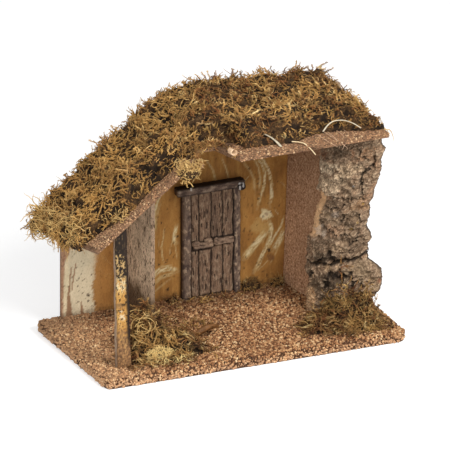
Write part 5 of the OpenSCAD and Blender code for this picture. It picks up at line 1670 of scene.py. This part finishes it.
def bark_slab(rows, low, high, sides, push, cracks, patches, seed, sawn=None):
    """Points, faces and tint of one piece of bark. Low and high give its ends across the face.

    Sawn is the right border of the smooth cut face at its left edge, where it has one.
    """
    columns = 112
    shares, levels = np.meshgrid(np.linspace(0, 1, columns), np.linspace(0, 1, rows))
    z = low(shares) + (high(shares) - low(shares)) * levels
    pushed = BARK_T * np.interp(levels, np.linspace(0, 1, len(push)), push)
    arch = BARK_BULGE * 4 * shares * (1 - shares)
    left = edge_run(sides[0], z[:, 0], pushed[:, 0], 0.0) + jagged(z[:, 0], seed + 15)
    right = edge_run(sides[1], z[:, -1], pushed[:, -1], 30 * MM) + jagged(z[:, -1], seed + 17)
    run = left[:, None] + (right - left)[:, None] * shares
    out = arch + pushed

    def place(outward_by):
        points = BARK_CORNER + run[..., None] * BARK_ALONG + outward_by[..., None] * BARK_OUT
        points[..., 2] = z
        return points

    face = place(out).reshape(-1, 3)
    px = to_photo(face)
    skew = np.column_stack([run.ravel() + 0.3 * z.ravel(), z.ravel() * 1.9, np.full(run.size, seed * 0.1)])
    courses = noise_at(skew, 11 * MM, seed, 4)
    knobs = noise_at(face, 8 * MM, seed + 1, 4)
    crust = noise_at(skew, 3.4 * MM, seed + 2, 4)
    crumb = noise_at(face, 1.5 * MM, seed + 3, 3)
    swell = noise_at(face, 20 * MM, seed + 4, 2)
    stack = courses * 3.4 + 0.5 * crust + 0.6 * knobs
    level = np.floor(stack)
    ledge = stack - level
    terrace = level + smooth_step(0.6, 0.95, ledge)
    sharp = 0.5 - np.abs(noise_at(skew, 4.6 * MM, seed + 11, 4))
    relief = 2.4 * knobs + 1.6 * terrace + 1.1 * crust + 1.6 * sharp + 0.6 * crumb + 2.0 * swell
    gap = np.zeros(len(px))
    bent = px + np.stack([noise_at(face, 4 * MM, seed + i, 4) for i in (6, 7)], axis=-1) * 2.2
    for width, depth, line in cracks:
        distance, share, _ = line_distance(bent, line)
        taper = smooth_step(-0.02, 0.15, share) * smooth_step(1.02, 0.85, share) * 0.7 + 0.3
        cut = np.exp(-(distance / (width * 0.85)) ** 2) * taper
        lip = np.exp(-((distance - width * 2.2) / (width * 1.2)) ** 2) * taper
        relief += -depth * cut + 0.35 * depth * lip
        gap = np.maximum(gap, cut * min(1.0, depth / 2.6))
    rim = np.minimum(shares, 1 - shares).ravel()
    relief -= 3.5 * smooth_step(0.05, 0.0, rim)
    relief *= 1 - 0.5 * smooth_step(0.03, 0.0, rim)
    joint = np.abs(z.ravel() - bark_crack(shares.ravel())) / MM + 1.2 * crust
    seam = smooth_step(3.6, 0.4, joint)
    relief -= 4.5 * seam
    cut_face = np.zeros(len(px))
    if sawn:
        border = np.interp(px[:, 1], *np.array(sawn)[:, ::-1].T)
        cut_face = smooth_step(0.9, -0.4, px[:, 0] - border + crust)
        cut_face *= smooth_step(190.5, 193, px[:, 1]) * smooth_step(237, 233, px[:, 1])
        relief = relief * (1 - 0.85 * cut_face) - 2.6 * cut_face

    outer = place(out + relief.reshape(out.shape) * MM)
    bend = (noise_at(face, 6 * MM, seed + 8) * 0.9 * MM).reshape(out.shape)
    outer += bend[..., None] * BARK_ALONG
    inner_thick = BARK_T * (1 - 0.45 * np.abs(2 * shares - 1) ** 3)
    ripple = noise_at(face + BARK_OUT, 9 * MM, seed + 9).reshape(out.shape) * 1.2 * MM
    inner = place(out - inner_thick + ripple)[:, ::-1]
    rings = np.concatenate([outer, inner], axis=1)
    faces = closed_rings(rows, columns * 2, flat=True)

    tint = coat(len(px), (184, 152, 122))
    shade = np.sin(level * 12.9 + seed) * 0.5 + 0.5
    paint(tint, (142, 114, 90), shade * 0.6)
    paint(tint, (214, 184, 150), smooth_step(0.0, 0.4, crust) * 0.7)
    paint(tint, (132, 104, 80), smooth_step(0.05, 0.5, -knobs) * 0.55)
    paint(tint, (196, 146, 108), smooth_step(0.15, 0.5, swell) * 0.45)
    for i, (colour, strength, middle, radii) in enumerate(patches):
        paint(tint, colour, strength * spot(px, middle, radii, seed + 20 + i, 0.8, 0.5))
    # Painted shade at the foot of each step of the bark, and a painted highlight along its top edge.
    paint(tint, (82, 62, 45), smooth_step(0.35, 0.5, ledge) * smooth_step(0.75, 0.6, ledge) * 0.6)
    paint(tint, (226, 200, 166), smooth_step(0.85, 0.97, ledge) * 0.45)
    paint(tint, (96, 74, 54), smooth_step(0.05, 0.4, -crumb) * 0.55)
    paint(tint, (74, 56, 40), smooth_step(0.28, 0.42, sharp) * 0.45)
    # Painted shade: near black deep in the cracks and in the seam between the two pieces.
    paint(tint, (38, 28, 20), smooth_step(0.25, 0.8, np.maximum(gap, seam)) * 0.9)
    if sawn:
        paint(tint, (248, 202, 152), cut_face * (0.85 + 0.15 * crumb))
        paint(tint, (226, 204, 180), 0.7 * spot(px, (318.6, 231), (4.6, 4.4), seed + 60, 0.9, 0.9))
    tint = tint.reshape(rows, columns, 3)
    hollow = coat(rows * columns, (190, 146, 104))
    paint(hollow, (120, 96, 74), smooth_step(0.12, 0.04, rim))
    hollow = hollow.reshape(rows, columns, 3)[:, ::-1]
    return rings.reshape(-1, 3), faces, np.concatenate([tint, hollow], axis=1).reshape(-1, 3)


def make_bark():
    finish = tinted_finish("Cork bark", 1.3 * MM, (0.6, 0.6, 1.8), 0.9 * MM, 0.95, 0.42)
    top = ROOF_UNDER - 0.4 * MM
    points, faces, tint = bark_slab(
        172, lambda s: bark_crack(s) + 0.6 * MM, lambda s: top - 15 * MM * smooth_step(0.55, 1.0, s),
        (BARK_LEFT, BARK_RIGHT), (-0.25, 0, 0.12, 0.05, 0.1, 0, 0.12, 0.05, 0, 0.08, -0.1), BARK_CRACKS,
        BARK_PATCHES, 70, CUT_CORK)
    solid_piece("cork_bark_upper", points, faces, finish, "cork_bark", "bark_column_upper", tint=tint)
    points, faces, tint = bark_slab(
        72, lambda s: np.full_like(s, FLOOR_Z + 0.3 * MM), bark_crack, (FOOT_LEFT, FOOT_RIGHT),
        (0.2, 0.12, 0.1, 0.25, 0.3, 0.2, -0.2), FOOT_CRACKS, FOOT_PATCHES, 90)
    solid_piece("cork_bark_foot", points, faces, finish, "cork_bark", "bark_column_foot", tint=tint)


# Straws, fibres and loose strands

# Each straw: its node, radius in mm, flatness, and places in the photograph with mm over the roof
STRAWS = [
    ("straw_flat", 2.5, 0.22, [(259, 132, 9), (266, 134.5, 8), (273, 138.5, 5), (278, 143, 3),
                               (281, 146.5, 1.6)]),
    ("straw_hooked", 1.5, 0.45, [(292, 141.6, 4), (297, 141.8, 2.6), (304.6, 143.3, 2), (311, 149.2, 1.4),
                                 (315.6, 154.8, -3)]),
    ("straw_arched", 0.85, 0.8, [(323, 131.5, 5), (328, 124.5, 9), (334, 120.5, 11), (344, 120, 12),
                                 (353, 123, 11), (361, 128, 8)])]
ROOT_FIBRES = [
    [(316, 128), (326, 133), (336, 140), (346, 146), (348, 149)],
    [(322, 126), (332, 128), (342, 134), (347, 141), (342, 150)],
    [(310, 131), (320, 136), (330, 143), (338, 147)],
    [(326, 130), (334, 137), (341, 143), (339, 149)],
    [(330, 124), (340, 127), (348, 133)],
    [(252, 126), (262, 131), (272, 133)]]
# Single strands: place along Y in mm and line in the photograph
STRANDS = [
    (-62, [(384, 130), (389, 129), (392, 132), (394, 138), (393.4, 141)]),
    (-62, [(382, 130), (384, 127), (388, 131), (390, 137)]),
    (80, [(36, 214), (30, 214), (24, 217), (20, 222)]),
    (76, [(40, 222), (34, 218), (28, 222), (26, 226)]),
    (84, [(42, 214), (36, 206), (28, 204), (26, 212)]),
    (84, [(44, 206), (38, 198), (32, 196)])]


def straw_finish(name, dark, light):
    finish = Finish(name, roughness=0.55)
    streak = finish.grain(0.5 * MM, 3.0, 0.6)
    broad = finish.grain(6 * MM, 2.0)
    finish.set("Base Color", finish.mix(
        broad.over(0.4, 0.65), finish.ramp(streak, (0.35, dark), (0.6, light)), light))
    finish.bump(streak, 0.2 * MM)
    return finish


def make_straws():
    """Three dry straws on the roof: two hang over its edge and one arches over the moss."""
    grey = straw_finish("Grey straw", (150, 136, 112), (206, 194, 168))
    gold = straw_finish("Pale straw", (176, 146, 104), (228, 206, 166))
    edge = ROOF_FRONT - 1.5 * MM
    for name, radius, flat, places in STRAWS:
        spots = [on_level((x, y), ROOF_TOP + lift * MM) for x, y, lift in places]
        line = curve([
            spot if spot[1] > edge else on_front(place, edge) for spot, place in zip(spots, places)])
        taper = radius * MM * (1 - 0.25 * np.linspace(0, 1, len(line)))
        points, faces = tube(line, taper, sides=12, flat=flat)
        finish = gold if name == "straw_hooked" else grey
        solid_piece("dry_" + name, points, faces, finish, "straw", name)


def make_shaving():
    """A wood shaving: a ribbon that winds inwards, a little askew."""
    turns, across = 40, 12
    low, high = corners("wood_curl")
    middle = (low + high) / 2 - [4 * MM, 0, 0]
    askew = math.radians(15)
    width_way = np.array([math.sin(askew), -math.cos(askew), 0])
    widths = np.linspace(-3.2, 3.2, across) * MM
    rings = []
    for share in np.linspace(0, 1, turns):
        angle = math.radians(110 + 295 * share)
        radius = 4.1 * MM * (1 - 0.35 * share ** 2) * np.array([math.cos(angle), 0, math.sin(angle)])
        side = widths[:, None] * width_way * (1 - 0.12 * math.sin(angle * 2))
        rings.append(np.concatenate([middle + radius + side, (middle + 0.86 * radius + side)[::-1]]))
    finish = straw_finish("Wood shaving", (150, 114, 84), (226, 194, 158))
    faces = closed_rings(turns, 2 * across, flat=True)
    solid_piece("shaving", np.concatenate(rings), faces, finish, "straw", "wood_curl")


def hair_set(name, lines, radius, finish, slot, seed):
    """Loose strands along lines, each wavering a little."""
    rng = np.random.default_rng(seed)
    count = 18
    share = np.linspace(0, 1, count)
    parts, tone = [], []
    for line in lines:
        wave = np.cumsum(rng.normal(size=(count, 3)), axis=0) * 0.12 * MM
        line = curve(line, count) + wave - share[:, None] * wave[-1]
        parts.append(tube(line, radius * (1 - 0.6 * share ** 3), sides=4))
        tone.append(np.full(len(parts[-1][0]), rng.uniform(0.5, 1)))
    points, faces = join(parts)
    reach = np.full(len(points), 0.8)
    settle(mesh_piece(name, points, faces, finish, tone=np.concatenate(tone), reach=reach), slot)


def make_hairs():
    """Root fibres and single strands that show at the edges of the moss."""
    lines = []
    for fibre in ROOT_FIBRES:
        top = [on_level(px, ROOF_TOP + 1.2 * MM) for px in fibre]
        lines.append([p if p[1] > ROOF_FRONT - 1 * MM else on_front(px, ROOF_FRONT - 1.4 * MM)
                      for p, px in zip(top, fibre)])
    fibre = straw_finish("Root fibre", (150, 112, 84), (206, 170, 138))
    hair_set("root_fibres", lines, 0.4 * MM, fibre, "straw", 5)
    lines = [[on_front(px, depth * MM) for px in strand] for depth, strand in STRANDS]
    hair_set("loose_strands", lines, 0.5 * MM, PALE_MOSS, "dried_moss", 6)

    rng = np.random.default_rng(8)
    lines = []
    for i in range(16):
        start = rng.uniform(0, 2 * np.pi)
        radius, sway = rng.uniform(6, 14), rng.normal(size=2) * 3.5
        bend = np.linspace(start, start + rng.uniform(0.9, 2.4), 5)
        x = 144 + sway[0] + radius * 1.1 * np.cos(bend)
        y = 326 + sway[1] + radius * rng.uniform(0.7, 1.2) * np.sin(bend)
        lines.append([on_front(px, -46 * MM - 0.6 * MM * i) for px in zip(x, y)])
    hair_set("post_moss_curls", lines, 0.42 * MM, FRINGE_MOSS, "dried_moss", 9)


def make_leaf():
    """A brown curled leaf that lies in the moss by the post."""
    columns, rows = 9, 22
    across, along = np.meshgrid(np.linspace(-1, 1, columns), np.linspace(0, 1, rows))
    start, end = on_level((196, 337), FLOOR_Z + 3 * MM), on_level((219, 328), FLOOR_Z + 5 * MM)
    way = end - start
    side = np.cross(way / np.linalg.norm(way), [0.0, 0.0, 1.0])
    wide = 5.2 * MM * np.sin(np.pi * along ** 0.7) ** 0.8 + 0.2 * MM
    curled = 4 * MM * across ** 2 + 3.2 * MM * np.sin(along * 3.0)
    net = start + along[..., None] * way + (across * wide * 0.8)[..., None] * side
    net[..., 2] += curled
    net[..., 2] += noise_at(net.reshape(-1, 3), 4 * MM, 58).reshape(across.shape) * 0.8 * MM
    points = np.concatenate([net, (net - [0, 0, 0.5 * MM])[:, ::-1]], axis=1).reshape(-1, 3)
    leaf = straw_finish("Dry leaf", (66, 42, 22), (128, 86, 46))
    solid_piece("dry_leaf", points, closed_rings(rows, 2 * columns), leaf, "dried_moss")


def make_pins():
    steel = Finish("Pin steel", roughness=0.35)
    steel.set("Metallic", 1.0)
    steel.set("Base Color", steel.ramp(steel.grain(0.4 * MM), (0.3, (150, 150, 152)), (0.7, (190, 190, 192))))
    for node in ("pins_base", "pins_roof_left", "pins_roof_right"):
        coat_with(nodes[node], steel)


# Stage

FLOOR_SIZE = 6.0
# Each lamp: azimuth and elevation in degrees, distance and width in metres, and power in watts
LAMPS = {"key": (16, 42, 1.3, 0.6, 16.0), "fill": (-45, 22, 1.5, 1.0, 9.0)}
LAMPS_AIM = Vector((0, 0, 0.12))


def make_floor():
    """A pale floor that keeps the shadow and shows white where nothing shades it."""
    finish = Finish("Floor", roughness=1.0)
    finish.set("Base Color", (0.8, 0.8, 0.8, 1))
    finish.set("Specular IOR Level", 0.0)
    camera = finish.node("ShaderNodeLightPath", {}, output="Is Camera Ray")
    seen = camera.larger(camera.beside("Is Glossy Ray")).larger(camera.beside("Is Transmission Ray"))
    finish.set("Emission Color", finish.mix(seen, (0, 0, 0, 1), (1, 1, 1, 1)))
    finish.set("Emission Strength", 0.42)
    corners_xy = np.array([[-1, -1, 0], [1, -1, 0], [1, 1, 0], [-1, 1, 0]])
    mesh_piece("floor", corners_xy * FLOOR_SIZE, [[0, 1, 2, 3]], finish, smooth=False)


def aimed(name, data, place, back):
    """An object in the scene that looks against the direction back."""
    made = bpy.data.objects.new(name, data)
    made.location = place
    made.rotation_euler = (-back).to_track_quat("-Z", "Y").to_euler()
    bpy.context.scene.collection.objects.link(made)
    return made


def make_stage():
    """The floor, soft studio lamps and the camera of the photograph."""
    scene = bpy.context.scene
    scene.view_settings.view_transform = "Standard"
    make_floor()
    scene.world = bpy.data.worlds.new("Studio")
    scene.world.use_nodes = True
    light = scene.world.node_tree.nodes["Background"]
    light.inputs["Color"].default_value = (1, 1, 1, 1)
    light.inputs["Strength"].default_value = 0.55
    for name, (azimuth, elevation, distance, width, power) in LAMPS.items():
        a, e = math.radians(azimuth), math.radians(elevation)
        back = Vector((math.sin(a) * math.cos(e), -math.cos(a) * math.cos(e), math.sin(e)))
        data = bpy.data.lights.new(name, "AREA")
        data.size = width
        data.energy = power
        aimed(name, data, LAMPS_AIM + back * distance, back)
    across, down = (np.array([PHOTO_SIZE, PHOTO_SIZE]) / 2 - ORIGIN_PX) / PX_PER_M
    data = bpy.data.cameras.new("camera")
    data.type = "ORTHO"
    data.ortho_scale = PHOTO_SIZE / PX_PER_M
    place = VIEW_RIGHT * across - VIEW_UP * down + VIEW_BACK * CAMERA_DISTANCE
    scene.camera = aimed("camera", data, Vector(place), Vector(VIEW_BACK))


make_stage()
SPRIGS = shape_set("sprig", [
    frond(np.random.default_rng(100 + i), *((0, 14, 0.5) if i < 14 else (15, 35, 0.9))) for i in range(18)])
CURLS = shape_set("curl", [curl(np.random.default_rng(140 + i)) for i in range(10)])
TUFTS = shape_set("tuft", [tuft(np.random.default_rng(160 + i)) for i in range(8)])
make_moss()
GRAINS = shape_set("grain", [cork_grain(np.random.default_rng(200 + i)) for i in range(10)])
make_granulate()
roof_grains()
clear_away(SPRIGS, CURLS, TUFTS, GRAINS)
make_walls()
make_door()
make_post()
make_bark()
make_straws()
make_shaving()
make_hairs()
make_leaf()
make_pins()
